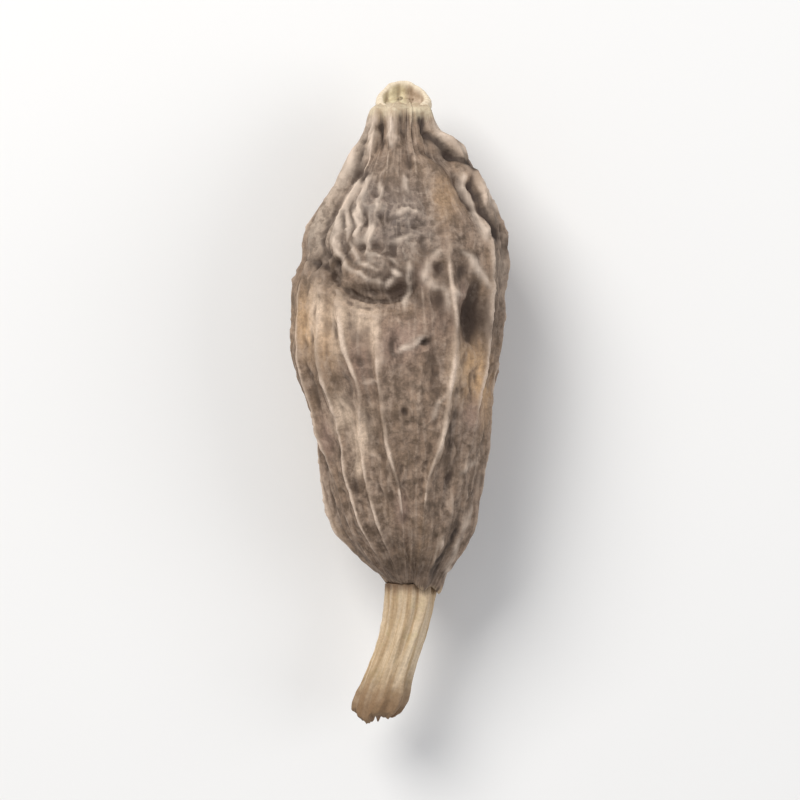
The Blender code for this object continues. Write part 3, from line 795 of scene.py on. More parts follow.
def tint(name, side, height, angle, place):
    """How much of a tint lies where: oval bells on the upper side and noise on the others."""
    here = 0
    for at_side, at_height, half_width, half_height, strength in TINTS[name]:
        here = here + strength * bell(side - at_side, half_width) * bell(height - at_height, half_height)
    seed = 30 + list(TINTS).index(name)
    elsewhere = ease(bumps(place * [0.25, 0.25, 0.15], seed), 0.15, 0.6)
    top = ease(np.sin(angle), -0.2, 0.3)
    return np.clip(top * here + 0.7 * (1 - top) * elsewhere, 0, 1)


print("ovals of each tint:", {name: len(ovals) for name, ovals in TINTS.items()})

# %% [markdown]
# ## The husk's grid
#
# The husk is one surface of rings and columns. Its columns follow the ribs, twenty to a rib, and its
# rings crowd towards both ends, where the skin turns fastest. Everything that later steps ask about
# a point, such as its height, its angle and the way its skin faces, is kept together in one place.

# %% The husk's grid
HUSK_SAMPLES, HUSK_RINGS = 20, 266
RING_CUT = 0.04


def husk_grid():
    """The plain husk: heights L (0.5 - 0.5 cos t / cos t0), and the ribs' angles with their wandering."""
    count = RIB_COUNT * HUSK_SAMPLES
    rib = np.arange(count)[None, :] / HUSK_SAMPLES
    half_turn = math.pi * np.linspace(RING_CUT, 1 - RING_CUT, HUSK_RINGS)[:, None]
    height = HUSK_LENGTH * (0.5 - 0.5 * np.cos(half_turn) / np.cos(half_turn[0]))
    steady = rib_angle(rib, height)
    angle = steady + wander(steady, height)
    wide, tall = outline(angle, height)
    side, up = wide * np.cos(angle), tall * np.sin(angle)
    radius = np.hypot(side, up)
    return SimpleNamespace(
        rib=rib,
        height=height,
        steady=steady,
        angle=angle,
        side=side,
        up=up,
        radius=radius,
        normals=outward(to_frame(side, height, up)),
        place=skin_place(angle, height),
        steps=(radius * 2 * math.pi / count, np.gradient(height, axis=0)),
    )


plain_husk = husk_grid()
print("husk grid:", plain_husk.angle.shape, "widest radius:", plain_husk.radius.max().round(2), "mm")

# %% [markdown]
# ## The husk's relief
#
# The coarse relief is the CAD model's. On top of it come the fine veins and wrinkles, the sharp
# crests of the ribs, the marks and the sinking of the dark cells. The marks' places were measured
# in the photograph, which looks straight at the pod's upper side. So each point is first asked where
# the coarse relief has moved it, and a little noise shakes the answer, so that no mark has a ruled
# edge. On the belly and at both ends the details fade.

# %% The husk's relief
SHAKE, SHAKE_PER_MM = 0.15, 1.3
CREST_HEIGHT, NECK_CREST_HEIGHT, NECK = 0.10, 0.05, (25.5, 27.5)


def seen_from_above(grid, coarse):
    """Where a point lies once the coarse relief has moved it, shaken by noise."""
    shake = [SHAKE * bumps(grid.place * SHAKE_PER_MM, seed) for seed in (21, 23)]
    side = grid.side + coarse * grid.normals[:, :, 0] + shake[0]
    return side, grid.height + coarse * grid.normals[:, :, 1] + shake[1]


def vein_crests(grid):
    """1 along the top of a rib, (0.5 + 0.5 cos(2 pi rib))^16, with gaps, and less in the bowed crease."""
    outside, reach = beyond_sag(grid.angle, grid.height, grid.radius)
    gaps = 0.4 + 0.7 * ease(bumps(grid.place * [0.5, 0.5, 0.4], 22), -0.4, 0.3)
    presence = rib_presence(grid.rib, grid.height) * (1 - 0.75 * reach * bell(outside, 1.0))
    return (0.5 + 0.5 * np.cos(2 * math.pi * grid.rib)) ** 16 * presence * gaps


def detail_share(grid):
    """How much of the details is kept: all of it, but less on the belly and at both ends."""
    share = (1 - 0.9 * belly(grid.angle, grid.height, grid.radius)) * ease(grid.height, 0.0, 1.5)
    return share * (1 - 0.7 * ease(grid.height, HUSK_LENGTH - 0.8, HUSK_LENGTH - 0.2))


def husk_relief(grid, crest):
    """The relief in millimetres, coarse + share * details, and the fields that the details leave."""
    height, angle, radius = grid.height, grid.angle, grid.radius
    coarse = coarse_relief(grid.rib, angle, height, radius)
    side_seen, height_seen = seen_from_above(grid, coarse)
    fine, threads, folded = fine_relief(grid.place, angle, height, radius, grid.steps)
    cut, tone = lines(side_seen, height_seen, angle, bumps(grid.place * 2.0, 25))
    pit = bell(grid.side - PIT_AT[0], PIT_HALF_SIZES[0]) * bell(height - PIT_AT[1], PIT_HALF_SIZES[1])
    pit = ease(np.sin(angle), 0, 0.2) * pit
    scar_rise, scar = knots(angle, height, radius)
    fields = {name: tint(name, side_seen, height_seen, angle, grid.place) for name in TINTS}
    sharpness = CREST_HEIGHT * np.clip(radius / 5, 0.3, 1) + NECK_CREST_HEIGHT * ease(height, *NECK)
    details = fine + sharpness * crest + scar_rise + cut
    details = details - PIT_DEPTH * pit - DARK_DEPTH * fields["dark"]
    fields["thread"] = threads
    fields["folded"] = folded
    fields["light_line"] = np.clip(tone, 0, 1)
    # dark_line is painted shade in the grooves and the pit, with the knots' darker scars.
    fields["dark_line"] = np.clip(-tone + pit + 0.35 * scar, 0, 1)
    return coarse + details * detail_share(grid), fields


rib_crests = vein_crests(plain_husk)
husk_rise, husk_fields = husk_relief(plain_husk, rib_crests)
print("relief in mm:", np.percentile(husk_rise, [2, 25, 75, 98]).round(2))

# %% [markdown]
# ## The husk's two ends
#
# At the base the husk ends in a torn, slightly flared edge round the stalk. At the tip its upper
# side runs on over the flower's rim as a short tongue, which thins out and bends down into the
# hollow. Both could be pieces of their own, but on the real pod the skin is one, so the rings that
# lie nearest to each end are moved along the axis by noise.

# %% The husk's two ends
BASE_LENGTH, BASE_RAGGED, BASE_FLARE = 0.9, 0.6, 0.22
BASE_TOOTH, BASE_TOOTH_ANGLE = 1.1, math.radians(8)
TIP_BEND, TIP_REACH, TIP_RAGGED = 1.3, 1.0, 0.25
TIP_LIFT, TIP_DROP, TIP_NARROWING = 0.25, 0.6, 0.2


def skin_with_ends(grid, relief, crest):
    """The skin's points in the frame, and how far along the axis each has been moved. At the base a
    point moves down by noise, with one long tooth. At the tip the upper side moves on over the rim,
    further where there is a crest, and then down towards the axis."""
    height, angle = grid.height, grid.angle
    base = 1 - ease(height, 0.0, BASE_LENGTH)
    torn = 0.9 * bumps(grid.place * [0.35, 0.35, 0.1], 27)
    torn = torn + BASE_TOOTH * bell(turn_between(angle, BASE_TOOTH_ANGLE), 0.5)
    front = ease(np.sin(angle), 0.0, 0.8) * ease(height, HUSK_LENGTH - TIP_BEND, HUSK_LENGTH)
    jagged = crest + bumps(grid.place * [0.9, 0.9, 0.1], 28)
    moved = height - BASE_RAGGED * base * torn + (TIP_REACH + TIP_RAGGED * jagged) * front
    over = front * ease(moved, HUSK_LENGTH + 0.1, HUSK_LENGTH + TIP_REACH)
    side, up = grid.side * (1 - TIP_NARROWING * over), grid.up * (1 - over) - TIP_DROP * over
    edges = BASE_FLARE * base * (torn + 0.35) + TIP_LIFT * front * (1 - over)
    skin = to_frame(side, moved, up)
    return skin + (relief + edges)[:, :, None] * grid.normals * MM, moved


husk_skin, skin_height = skin_with_ends(plain_husk, husk_rise, rib_crests)
print("the tongue reaches", (skin_height.max() - HUSK_LENGTH).round(2), "mm over the rim")

# %% [markdown]
# ## Fitting the shoulders, the floor and the sockets
#
# Folds and noise leave the shoulders a few tenths of a millimetre too wide or too narrow in places,
# and the eye reads an outline more sharply than anything inside it. So the shoulders' rings are
# scaled to half-widths measured from the axis. The lowest points are eased onto the floor with a
# soft maximum. Two short sockets, hidden by the stalk and the rim, then close the surface.

# %% Fitting the shoulders, the floor and the sockets
EDGE_HEIGHT = [20.0, 21.5, 23.0, 24.8, 26.2, 27.0, 27.7, 28.5, 29.2]
RIGHT_EDGE = [6.5, 6.35, 5.72, 4.76, 4.03, 3.25, 2.45, 1.85, 1.7]
LEFT_EDGE = [6.6, 6.3, 5.4, 4.1, 3.35, 2.9, 2.55, 2.15, 1.75]
FLOOR_EASE = 0.06
STALK_SOCKET_RADIUS, STALK_SOCKET_DEPTH = 1.25, 1.95
RIM_SOCKET_RADIUS, RIM_SOCKET_DEPTH, RIM_SOCKET_LIP = 1.15, 1.40, 0.1


def fit_edges(across, height):
    """Places across the pod, scaled ring by ring so that the shoulders are as wide as measured."""
    middle = AXIS_X + LEAN * (1 - height / LEAN_LENGTH)
    side = across - middle
    shoulder = ease(height, *EDGE_HEIGHT[:2]) * (1 - ease(height, *EDGE_HEIGHT[-2:]))
    right = curve(height, EDGE_HEIGHT, RIGHT_EDGE) / side.max(axis=1, keepdims=True)
    left = curve(height, EDGE_HEIGHT, LEFT_EDGE) / -side.min(axis=1, keepdims=True)
    ratio = soften(np.where(side > 0, right, left), 0, 5)
    return middle + side * (1 + (ratio - 1) * shoulder)


def on_floor(up):
    """A soft maximum of the height above the floor and 0: s log(1 + exp(up / s))."""
    return FLOOR_EASE * np.logaddexp(0, up / FLOOR_EASE)


def socket(angle, radius, floor, mouth):
    """Rings of a round socket, from the middle of its floor to just inside its mouth."""
    radii = radius * np.array([0.0, 0.6, 1.0, 1.0])[:, None]
    heights = np.array([floor, floor, floor, mouth])[:, None]
    return to_frame(radii * np.cos(angle), heights, radii * np.sin(angle))


husk_skin[:, :, 0] = fit_edges(husk_skin[:, :, 0] / MM, plain_husk.height) * MM
husk_skin[:, :, 2] = on_floor(husk_skin[:, :, 2] / MM) * MM
stalk_hole = socket(plain_husk.angle[0], STALK_SOCKET_RADIUS, STALK_SOCKET_DEPTH, 0.0)
rim_floor, rim_mouth = HUSK_LENGTH - RIM_SOCKET_DEPTH, HUSK_LENGTH - RIM_SOCKET_LIP
rim_hole = socket(plain_husk.angle[-1], RIM_SOCKET_RADIUS, rim_floor, rim_mouth)
husk_points = np.concatenate([stalk_hole, husk_skin, rim_hole[::-1]])
print("husk spans in mm:", (np.ptp(husk_points, axis=(0, 1)) / MM).round(2))

# %% [markdown]
# ## What the husk's finish will ask for
#
# A painter brings out a carved surface with a wash that settles in what lies deep and a dry brush
# that catches what stands out. The contrast field does the same for the material, as painted shade in what
# lies deep and a painted highlight on what stands out: it compares the relief with its own local average.
# The other fields say where the tip, its mouth and the torn foot are, and the grain vector changes slowly
# along the pod, so that noise read at it becomes fibres.

# %% What the husk's finish will ask for
GRAIN_RADIUS, GRAIN_PER_MM = 5, 0.11
TIP_HEIGHTS, MOUTH_HEIGHTS, FOOT_HEIGHTS = (26.8, 28.6), (27.8, 29.5), (-0.7, 0.5)
SOCKET_RINGS = len(stalk_hole)


def grain_along(angle, height):
    """A place on a cylinder that is squeezed along the pod, which stretches noise into fibres."""
    round_part = [GRAIN_RADIUS * np.cos(angle), GRAIN_RADIUS * np.sin(angle)]
    return np.stack([*round_part, GRAIN_PER_MM * height + 0 * angle], axis=2)


def with_sockets(values):
    """Values of the skin's grid, with each end's value repeated on the rings of its socket."""
    extra = ((SOCKET_RINGS, SOCKET_RINGS), (0, 0), (0, 0))
    return np.pad(values, extra[:values.ndim], mode="edge")


above_base, at_neck = ease(plain_husk.height, 0.6, 3.0), ease(plain_husk.height, *NECK)
husk_fields["crest"] = rib_crests * (0.2 + 0.8 * above_base) * (1 - 0.6 * at_neck)
husk_fields["contrast"] = husk_rise - soften(husk_rise, 9, 7)
husk_fields["tip"] = ease(plain_husk.height, *TIP_HEIGHTS) + 0 * plain_husk.angle
husk_fields["mouth"] = ease(skin_height, *MOUTH_HEIGHTS)
husk_fields["foot"] = 1 - ease(skin_height + 0.4 * rib_crests, *FOOT_HEIGHTS)
husk_fields["grain"] = grain_along(plain_husk.steady, plain_husk.height)
husk_fields = {name: with_sockets(values) for name, values in husk_fields.items()}
pod_husk = closed_piece("pod_husk", husk_points, husk_fields)
print("contrast in mm:", np.percentile(husk_fields["contrast"], [2, 25, 75, 98]).round(3))

# %% [markdown]
# ## Shader maths as Python
#
# A material is a network of nodes, and written out socket by socket it is long and hard to read.
# This small class wraps one output socket. Python's operators on it add Math nodes, so that a mask
# can be written as `1 - dust * 0.5`. Every other node comes from one method, `put`, which takes the
# node's type, its settings and what goes into its sockets. Colours are mixed by Mix nodes, because a
# Math node would turn a colour into a grey.

# %% Shader maths as Python


class Wire:
    """One output socket of a node tree, which can be used in expressions."""

    def __init__(self, tree, socket=None):
        self.tree = tree
        self.socket = socket

    def put(self, kind, settings=None, sockets=None, out=0):
        """Adds a node: settings first, then values or links by socket name or number."""
        node = self.tree.nodes.new(kind)
        for name, value in (settings or {}).items():
            setattr(node, name, value)
        for name, value in (sockets or {}).items():
            if isinstance(value, Wire):
                self.tree.links.new(value.socket, node.inputs[name])
            else:
                node.inputs[name].default_value = value
        return Wire(self.tree, node.outputs[out])

    def math(self, operation, *values):
        """A Math node on these wires or numbers."""
        return self.put("ShaderNodeMath", {"operation": operation}, dict(enumerate(values)))

    def __add__(self, other):
        return self.math("ADD", self, other)

    def __sub__(self, other):
        return self.math("SUBTRACT", self, other)

    def __rsub__(self, other):
        return self.math("SUBTRACT", other, self)

    def __mul__(self, other):
        return self.math("MULTIPLY", self, other)

    __radd__ = __add__
    __rmul__ = __mul__

    def smooth(self, low, high):
        """0 below low and 1 above high, with a smooth step between them, as in ease."""
        limits = {"Value": self, "From Min": low, "From Max": high}
        return self.put("ShaderNodeMapRange", {"interpolation_type": "SMOOTHSTEP"}, limits)

    def shaken(self, noise_wire, amount):
        """This plus noise from -amount / 2 to amount / 2, which breaks up an even edge."""
        return self + (noise_wire - 0.5) * amount

    def mix(self, under, over):
        """The colour under where this is 0, and over where it is 1."""
        colours = {0: self, 6: under, 7: over}
        return self.put("ShaderNodeMix", {"data_type": "RGBA", "clamp_factor": True}, colours, out=2)

    def lighten(self, colour, low, high):
        """colour times a factor that goes from low to high as this goes from 0 to 1."""
        factor = self * (high - low) + low
        scale = {0: colour, 3: factor}
        return self.put("ShaderNodeVectorMath", {"operation": "SCALE"}, scale)


def srgb(red, green, blue):
    """A linear colour from the 0 to 255 values of a screen."""
    values = np.array([red, green, blue]) / 255
    linear = np.where(values <= 0.04045, values / 12.92, ((values + 0.055) / 1.055) ** 2.4)
    return (*linear.tolist(), 1.0)


print("a mid brown is", [round(v, 3) for v in srgb(139, 121, 107)])

# %% Finishes, fields and noises


def new_finish(name, specular):
    """A material with a plain Principled shader, and the wire that adds nodes to it."""
    material = bpy.data.materials.new(name)
    material.use_nodes = True
    shader = material.node_tree.nodes["Principled BSDF"]
    shader.inputs["Specular IOR Level"].default_value = specular
    return material, shader, Wire(material.node_tree)


def connect(shader, **sockets):
    """Links wires to, or sets values on, sockets of the shader: base_color means Base Color."""
    for name, value in sockets.items():
        socket = shader.inputs[name.replace("_", " ").title()]
        if isinstance(value, Wire):
            value.tree.links.new(value.socket, socket)
        else:
            socket.default_value = value


def field(wire, name):
    """The number that a piece's mesh holds under this name."""
    return wire.put("ShaderNodeAttribute", {"attribute_name": name}, out=2)


def grain_field(wire):
    """The grain vector of a piece's mesh, on which noise becomes lengthwise fibres."""
    return wire.put("ShaderNodeAttribute", {"attribute_name": "grain"}, out=1)


def millimetres(wire):
    """Object coordinates in millimetres, so that the scale of a texture is in bumps per mm."""
    spot = wire.put("ShaderNodeTexCoord", out=3)
    return wire.put("ShaderNodeVectorMath", {"operation": "SCALE"}, {0: spot, 3: 1 / MM})


def speckle(wire, place, scale, detail=4.0, roughness=0.6):
    """Fractal noise from 0 to 1 at so many bumps per unit of place."""
    sockets = {"Vector": place, "Scale": scale, "Detail": detail, "Roughness": roughness}
    return wire.put("ShaderNodeTexNoise", None, sockets)


def thin_net(noise_wire):
    """1 on the thin lines where a noise passes its middle: 1 less a smooth step of (noise - 0.5)^2."""
    away = noise_wire - 0.5
    return 1 - (away * away).smooth(0.0, 0.004)


def fine_bump(wire, texture, strength, depth):
    """A normal for lines too fine for the mesh, from a texture and its depth in millimetres."""
    sockets = {"Strength": strength, "Distance": depth * MM, "Height": texture}
    return wire.put("ShaderNodeBump", None, sockets)


print("one unit of a texture's place is", MM, "m")

# %% [markdown]
# ## The husk's ground colour
#
# Dried husk is dull, brown and dusty. A single colour with a bump would look like plastic, so the
# finish is built up in coats, as a model maker would paint it, and each coat is broken up by noise
# of its own scale. The first is a mottled brown, greyer where the shoulder has weathered and warmer
# where light has bleached it. The mesh's fields place the tints. Fibre noise is read at the grain
# vector, so it follows the ribs.

# %% The husk's ground colour
BROWN_SHADE, BROWN_LIGHT = srgb(94, 77, 62), srgb(143, 120, 101)
BLEACHED, TIP_TAN = srgb(134, 110, 86), srgb(150, 128, 108)
TINT_COLOURS = {
    "grey": srgb(106, 95, 89),
    "dusty": srgb(172, 156, 140),
    "warm": srgb(202, 164, 122),
    "pink": srgb(158, 131, 116),
    "pale": srgb(228, 203, 178),
}


def husk_noises(wire):
    """Noises from broad to fine, at so many bumps per mm, and two nets of thin lines."""
    spot, grain = millimetres(wire), grain_field(wire)
    return SimpleNamespace(
        broad=speckle(wire, spot, 0.35, 4.0),
        mottle=speckle(wire, spot, 1.3, 6.0, 0.65),
        cells=speckle(wire, spot, 1.8, 3.0),
        fleck=speckle(wire, spot, 5.0, 4.0, 0.7),
        fibre=speckle(wire, grain, 3.2, 5.0, 0.65),
        net=thin_net(speckle(wire, spot, 1.0, 2.0, 0.5)),
        strand=thin_net(speckle(wire, grain, 1.1, 2.0, 0.5)),
    )


def husk_ground(wire, noises):
    """Mottled brown, then the tints, then lighter and darker fibres and flecks."""
    colour = noises.mottle.smooth(0.32, 0.68).mix(BROWN_SHADE, BROWN_LIGHT)
    colour = (noises.broad.smooth(0.45, 0.7) * 0.4).mix(colour, BLEACHED)
    colour = (field(wire, "tip") * 0.6).mix(colour, TIP_TAN)
    for name, tint_colour in TINT_COLOURS.items():
        amount = field(wire, name) * noises.mottle.smooth(0.1, 0.5)
        colour = (amount * 0.85).mix(colour, tint_colour)
    colour = noises.fibre.smooth(0.25, 0.75).lighten(colour, 0.82, 1.18)
    return noises.fleck.smooth(0.3, 0.7).lighten(colour, 0.8, 1.18)


print("ground from", [round(v, 2) for v in BROWN_SHADE[:3]], "to", [round(v, 2) for v in BROWN_LIGHT[:3]])

# %% [markdown]
# ## The husk's painted light and shade, wear and marks
#
# The second group of coats is painted light and shade, with what age does. Crevices get painted shade,
# and heights a painted highlight over their pale wear. The shoulder's folds get a painted highlight on their
# backs and painted shade between. Threads and nets of hair-thin veins
# lie over all of it. Then come the marks: dark skin with painted shade in the dent and the crease, light
# lines, dark lines of painted shade in grooves and the pit, and last the pale crests of the ribs, because
# nothing covers them on a real pod.

# %% The husk's painted shade, painted highlights and wear
# Painted shade for the crevices, and a painted highlight with pale wear for the heights.
PAINTED_CREVICE_SHADE, WEAR_AND_PAINTED_HIGHLIGHT = srgb(62, 47, 37), srgb(192, 170, 150)
# A painted highlight for the backs of the shoulder's folds, and painted shade for between them.
FOLD_PAINTED_HIGHLIGHT, FOLD_SHADE = srgb(182, 167, 152), srgb(80, 66, 56)
THREAD, NET = srgb(186, 165, 147), srgb(186, 167, 150)
DUSTY_CELL = srgb(96, 80, 66)


def husk_painted_shade(wire, noises):
    """Where painted shade goes: 1 where the skin lies deep, by its contrast field, and more readily so near
    the tip.
    """
    depth = field(wire, "contrast") * -1.0 * (field(wire, "tip") + 1.0)
    return depth.shaken(noises.fleck, 0.06).smooth(0.02, 0.18)


def husk_wear_and_painted_relief(wire, noises, colour, deep):
    """Painted shade in crevices, a painted highlight with wear on heights, a painted highlight on the folds'
    backs and painted shade between them, then threads, nets and dusty cells, over the ground colour.
    """
    # painted shade in the crevices
    colour = (deep * 0.85).mix(colour, PAINTED_CREVICE_SHADE)
    # a painted highlight, with pale wear, on the heights
    wear_and_highlight = field(wire, "contrast").shaken(noises.fibre, 0.12).smooth(0.06, 0.26)
    colour = (wear_and_highlight * 0.5).mix(colour, WEAR_AND_PAINTED_HIGHLIGHT)
    # a painted highlight on the folds' backs and painted shade between them
    folded = field(wire, "folded").shaken(noises.fleck, 0.3)
    colour = (folded.smooth(0.1, 0.6) * 0.5).mix(colour, FOLD_PAINTED_HIGHLIGHT)
    colour = ((folded * -1.0).smooth(0.0, 0.6) * 0.6).mix(colour, FOLD_SHADE)
    thread = field(wire, "thread") * noises.fibre.smooth(0.35, 0.65)
    colour = (thread * 0.45).mix(colour, THREAD)
    drawn = noises.net * (0.12 + 0.35 * field(wire, "grey")) + noises.strand * 0.25
    colour = (drawn * noises.mottle.smooth(0.4, 0.65)).mix(colour, NET)
    cells = field(wire, "dusty") * (1 - noises.cells.smooth(0.38, 0.5))
    return (cells * 0.6).mix(colour, DUSTY_CELL)


# The painted highlight on the heights, against the painted shade in the crevices.
print("a rubbed height is", round(WEAR_AND_PAINTED_HIGHLIGHT[1] / PAINTED_CREVICE_SHADE[1]), "times as bright as a crevice")

# %% The husk's marks and ends
# The dark tint's colour is partly dark skin and partly painted shade; the dark lines' colour is painted
# shade in grooves.
DARK_SKIN_AND_SHADE, LIGHT_LINE, DARK_LINE_AND_SHADE = srgb(64, 48, 37), srgb(214, 195, 177), srgb(50, 37, 29)
VEIN_SHADE, VEIN_LIGHT = srgb(198, 176, 156), srgb(222, 200, 180)
FOOT_SHADE, FOOT_LIGHT = srgb(150, 124, 96), srgb(206, 182, 150)
MOUTH_SHADE, MOUTH_LIGHT = srgb(184, 162, 134), srgb(214, 200, 170)


def husk_crest(wire, noises):
    """1 along the pale crests of the ribs, broken up by mottling and cut through by dark lines."""
    crest = field(wire, "crest") * (1 - field(wire, "dark_line") * 0.9)
    return (crest * (0.4 + noises.mottle * 1.1)).smooth(0.3, 1.0)


def husk_marks(wire, noises, colour, crest):
    """Dark skin with painted shade in the dent and the crease, light lines, dark lines of painted shade in
    grooves and the pit, and the ribs' crests.
    """
    # painted shade, with some dark skin, where the dark tint lies
    dark_and_shade = field(wire, "dark")
    dark_and_shade = dark_and_shade * noises.mottle.smooth(0.1, 0.5) + (noises.fleck - 0.5) * 0.3 * dark_and_shade
    colour = (dark_and_shade * 0.85).mix(colour, DARK_SKIN_AND_SHADE)
    light = field(wire, "light_line") * (0.5 + noises.fibre)
    colour = (light * 0.85).mix(colour, LIGHT_LINE)
    # painted shade in the grooves and the pit, and the darker knots
    dark = field(wire, "dark_line") * (0.6 + noises.mottle * 0.6)
    colour = (dark * 0.95).mix(colour, DARK_LINE_AND_SHADE)
    vein = noises.fleck.smooth(0.3, 0.7).mix(VEIN_SHADE, VEIN_LIGHT)
    return (crest * 0.85).mix(colour, vein)


def husk_ends(wire, noises, colour, deep):
    """The straw colour of the torn foot, and the paler mouth where the husk meets the rim."""
    foot = field(wire, "foot").shaken(noises.fibre, 0.8).smooth(0.3, 0.8)
    colour = (foot * 0.8).mix(colour, noises.fibre.mix(FOOT_SHADE, FOOT_LIGHT))
    mouth = (field(wire, "mouth").shaken(noises.fibre, 0.8) - deep * 0.3).smooth(0.2, 1.0)
    return (mouth * 0.8).mix(colour, noises.mottle.smooth(0.35, 0.65).mix(MOUTH_SHADE, MOUTH_LIGHT))


print("a vein is", round(VEIN_LIGHT[1] / BROWN_LIGHT[1], 1), "times as bright as the ground")

# %% [markdown]
# ## The husk's whole finish
#
# The coats are laid in order. Roughness is high everywhere, a little less on the worn crests, and a
# fine bump adds what is too small for the mesh. All of them read the same noises, so that a dark
# fleck is also a small pit, as it would be on the real skin.

# %% The husk's whole finish


def husk_finish():
    """All coats in order, with a roughness and a fine bump from the same noises."""
    material, shader, wire = new_finish("dried_husk_skin", 0.35)
    noises = husk_noises(wire)
    # deep is where the painted shade goes.
    deep, crest = husk_painted_shade(wire, noises), husk_crest(wire, noises)
    colour = husk_wear_and_painted_relief(wire, noises, husk_ground(wire, noises), deep)
    colour = husk_ends(wire, noises, husk_marks(wire, noises, colour, crest), deep)
    rough = 0.58 + 0.25 * noises.mottle - 0.10 * crest
    texture = noises.fibre * 0.5 + noises.fleck * 0.35 + (noises.net + noises.strand) * 0.15
    connect(shader, base_color=colour, roughness=rough, normal=fine_bump(wire, texture, 0.7, 0.11))
    return material


pod_husk.data.materials.append(husk_finish())
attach(pod_husk, "root")
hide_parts("husk")
print("husk finish has", len(pod_husk.data.materials[0].node_tree.nodes), "nodes")

# %% [markdown]
# ## The stalk
#
# The stalk is a short, woody piece of the fruit's stem, the colour of straw. It is a ribbed tube
# that bends to the left and downwards, and its far end is torn, so the fibres end at different
# lengths. A profile carried along a path would do for the tube, but the torn end and the root in
# the husk's socket are easier when each ring has its own height and radius, as on the husk.

# %% The stalk's grid
STALK_HEIGHT = [1.7, 0.0, -1.5, -3.0, -4.5, -6.0, -7.3, -8.2]
STALK_SIDE = [0.0, 0.0, -0.12, -0.48, -1.0, -1.55, -1.95, -2.25]
STALK_DROP = [0.0, 0.0, -0.05, -0.2, -0.4, -0.6, -0.75, -0.85]
STALK_HALF = [1.5, 1.62, 1.46, 1.38, 1.38, 1.48, 1.62, 1.5]
STALK_FLATTEN = 0.86
STALK_RIBS, STALK_RIB_HEIGHT = 8, 0.14
STALK_ROOT_RADIUS, STALK_ROOT_DEPTH = 1.0, 1.7
STALK_SAMPLES, STALK_RINGS, STALK_END_RINGS = 28, 90, 14
STALK_FIBRE_HEIGHT, STALK_SCALE_HEIGHT, STALK_WAIST = 0.05, 0.02, 0.10
STALK_SUNK, STALK_SPLINTER = 0.5, 0.22


def stalk_tube(angle, turn):
    """Heights, radii and relief of the tube's rings. The radius is a curve with eight ribs,
    r = half(height) + 0.14 cos(8 angle + a slow twist), and fine noise. The last rings end raggedly."""
    share = np.linspace(0, 1, STALK_RINGS)[:, None]
    height = share * STALK_HEIGHT[-1]
    ridge = np.cos(STALK_RIBS * angle + 1.1 * np.sin(height / 3.0))
    fine = noise(turn + 0 * share, share, 34, 5, 31) + 0.6 * noise(turn + 0 * share, share, 70, 12, 32)
    scales = noise(turn + 0 * share, share, 16, 22, 33)
    relief = STALK_RIB_HEIGHT * ridge * (0.7 + 0.3 * np.sin(3 * angle + height))
    relief = relief + STALK_FIBRE_HEIGHT * fine + STALK_SCALE_HEIGHT * scales
    radius = curve(height, STALK_HEIGHT, STALK_HALF) + relief - STALK_WAIST * ease(height, -1.4, -0.2)
    radius = radius * (1 - 0.20 * ease(share, 0.97, 1.0))
    ragged = 0.22 * np.sin(2 * angle + 0.8) + 0.12 * np.sin(5 * angle) + 0.16 * fine[-1:]
    return height + ragged * ease(share, 0.85, 1.0), radius, relief


def torn_face(turn, edge_height, edge_radius):
    """Rings of the broken face, from its edge to its middle: it sinks in with the power 0.3 of the
    distance from the middle, and noise makes splinters."""
    share = np.linspace(0.95, 0, STALK_END_RINGS)[:, None]
    splinters = noise(turn + 0 * share, share, 20, 6, 34)
    height = edge_height * share**0.3 + (STALK_HEIGHT[-1] + STALK_SUNK) * (1 - share**0.3)
    return height + STALK_SPLINTER * splinters * share * (1.2 - share) * 2, share * edge_radius


def stalk():
    """Rings by columns of the stalk: root, tube and torn face, with the fields of its material."""
    count = STALK_RIBS * STALK_SAMPLES
    angle = 2 * math.pi * np.arange(count)[None, :] / count
    turn = angle / (2 * math.pi)
    tube_height, tube_radius, relief = stalk_tube(angle, turn)
    end_height, end_radius = torn_face(turn, tube_height[-1:], tube_radius[-1:])
    root_radius = np.array([0.0, 0.6, 1.0, 1.0])[:, None] * STALK_ROOT_RADIUS + 0 * angle
    root_height = np.array([STALK_ROOT_DEPTH] * 3 + [0.05])[:, None] + 0 * angle

    radius = np.concatenate([root_radius, tube_radius, end_radius])
    height = np.concatenate([root_height, tube_height, end_height])
    side = radius * np.cos(angle) + curve(height, STALK_HEIGHT, STALK_SIDE)
    oval = np.where(height > 0.0, 1.0, STALK_FLATTEN)
    up = radius * np.sin(angle) * oval + curve(height, STALK_HEIGHT, STALK_DROP)
    extra = ((len(root_height), len(end_height)), (0, 0))
    grain = [2 * np.cos(angle) + 0 * height, 2 * np.sin(angle) + 0 * height, 0.09 * height]
    fields = {
        "contrast": np.pad(relief - soften(relief, 6, 4), extra, mode="edge"),
        "inside": np.pad(0 * relief, extra, constant_values=1.0),
        "down": -height / -STALK_HEIGHT[-1],
        "grain": np.stack(grain, axis=2),
    }
    return to_frame(side, height, up), fields


pod_stalk = closed_piece("pod_stalk", *stalk())

# %% [markdown]
# ## The finish of the stalk
#
# Straw-coloured wood in cream and tan bands with a few dark fibres, painted shade in its furrows and a
# painted highlight on its ridges, painted shade where it leaves the husk and towards its far end, which is a
# little browner, a green tinge half-way down and an orange-brown torn end. The fibre noise runs along the
# grain vector, as on the husk.

# %% The finish of the stalk
STRAW_SHADE, STRAW_LIGHT = srgb(178, 150, 116), srgb(208, 184, 150)
STRAW_CREAM, STRAW_TAN, STRAW_GREEN = srgb(216, 196, 168), srgb(164, 134, 98), srgb(184, 170, 120)
# Painted shade for the furrows and a painted highlight for the ridges.
FURROW_SHADE, RIDGE_HIGHLIGHT = srgb(130, 102, 72), srgb(226, 206, 176)
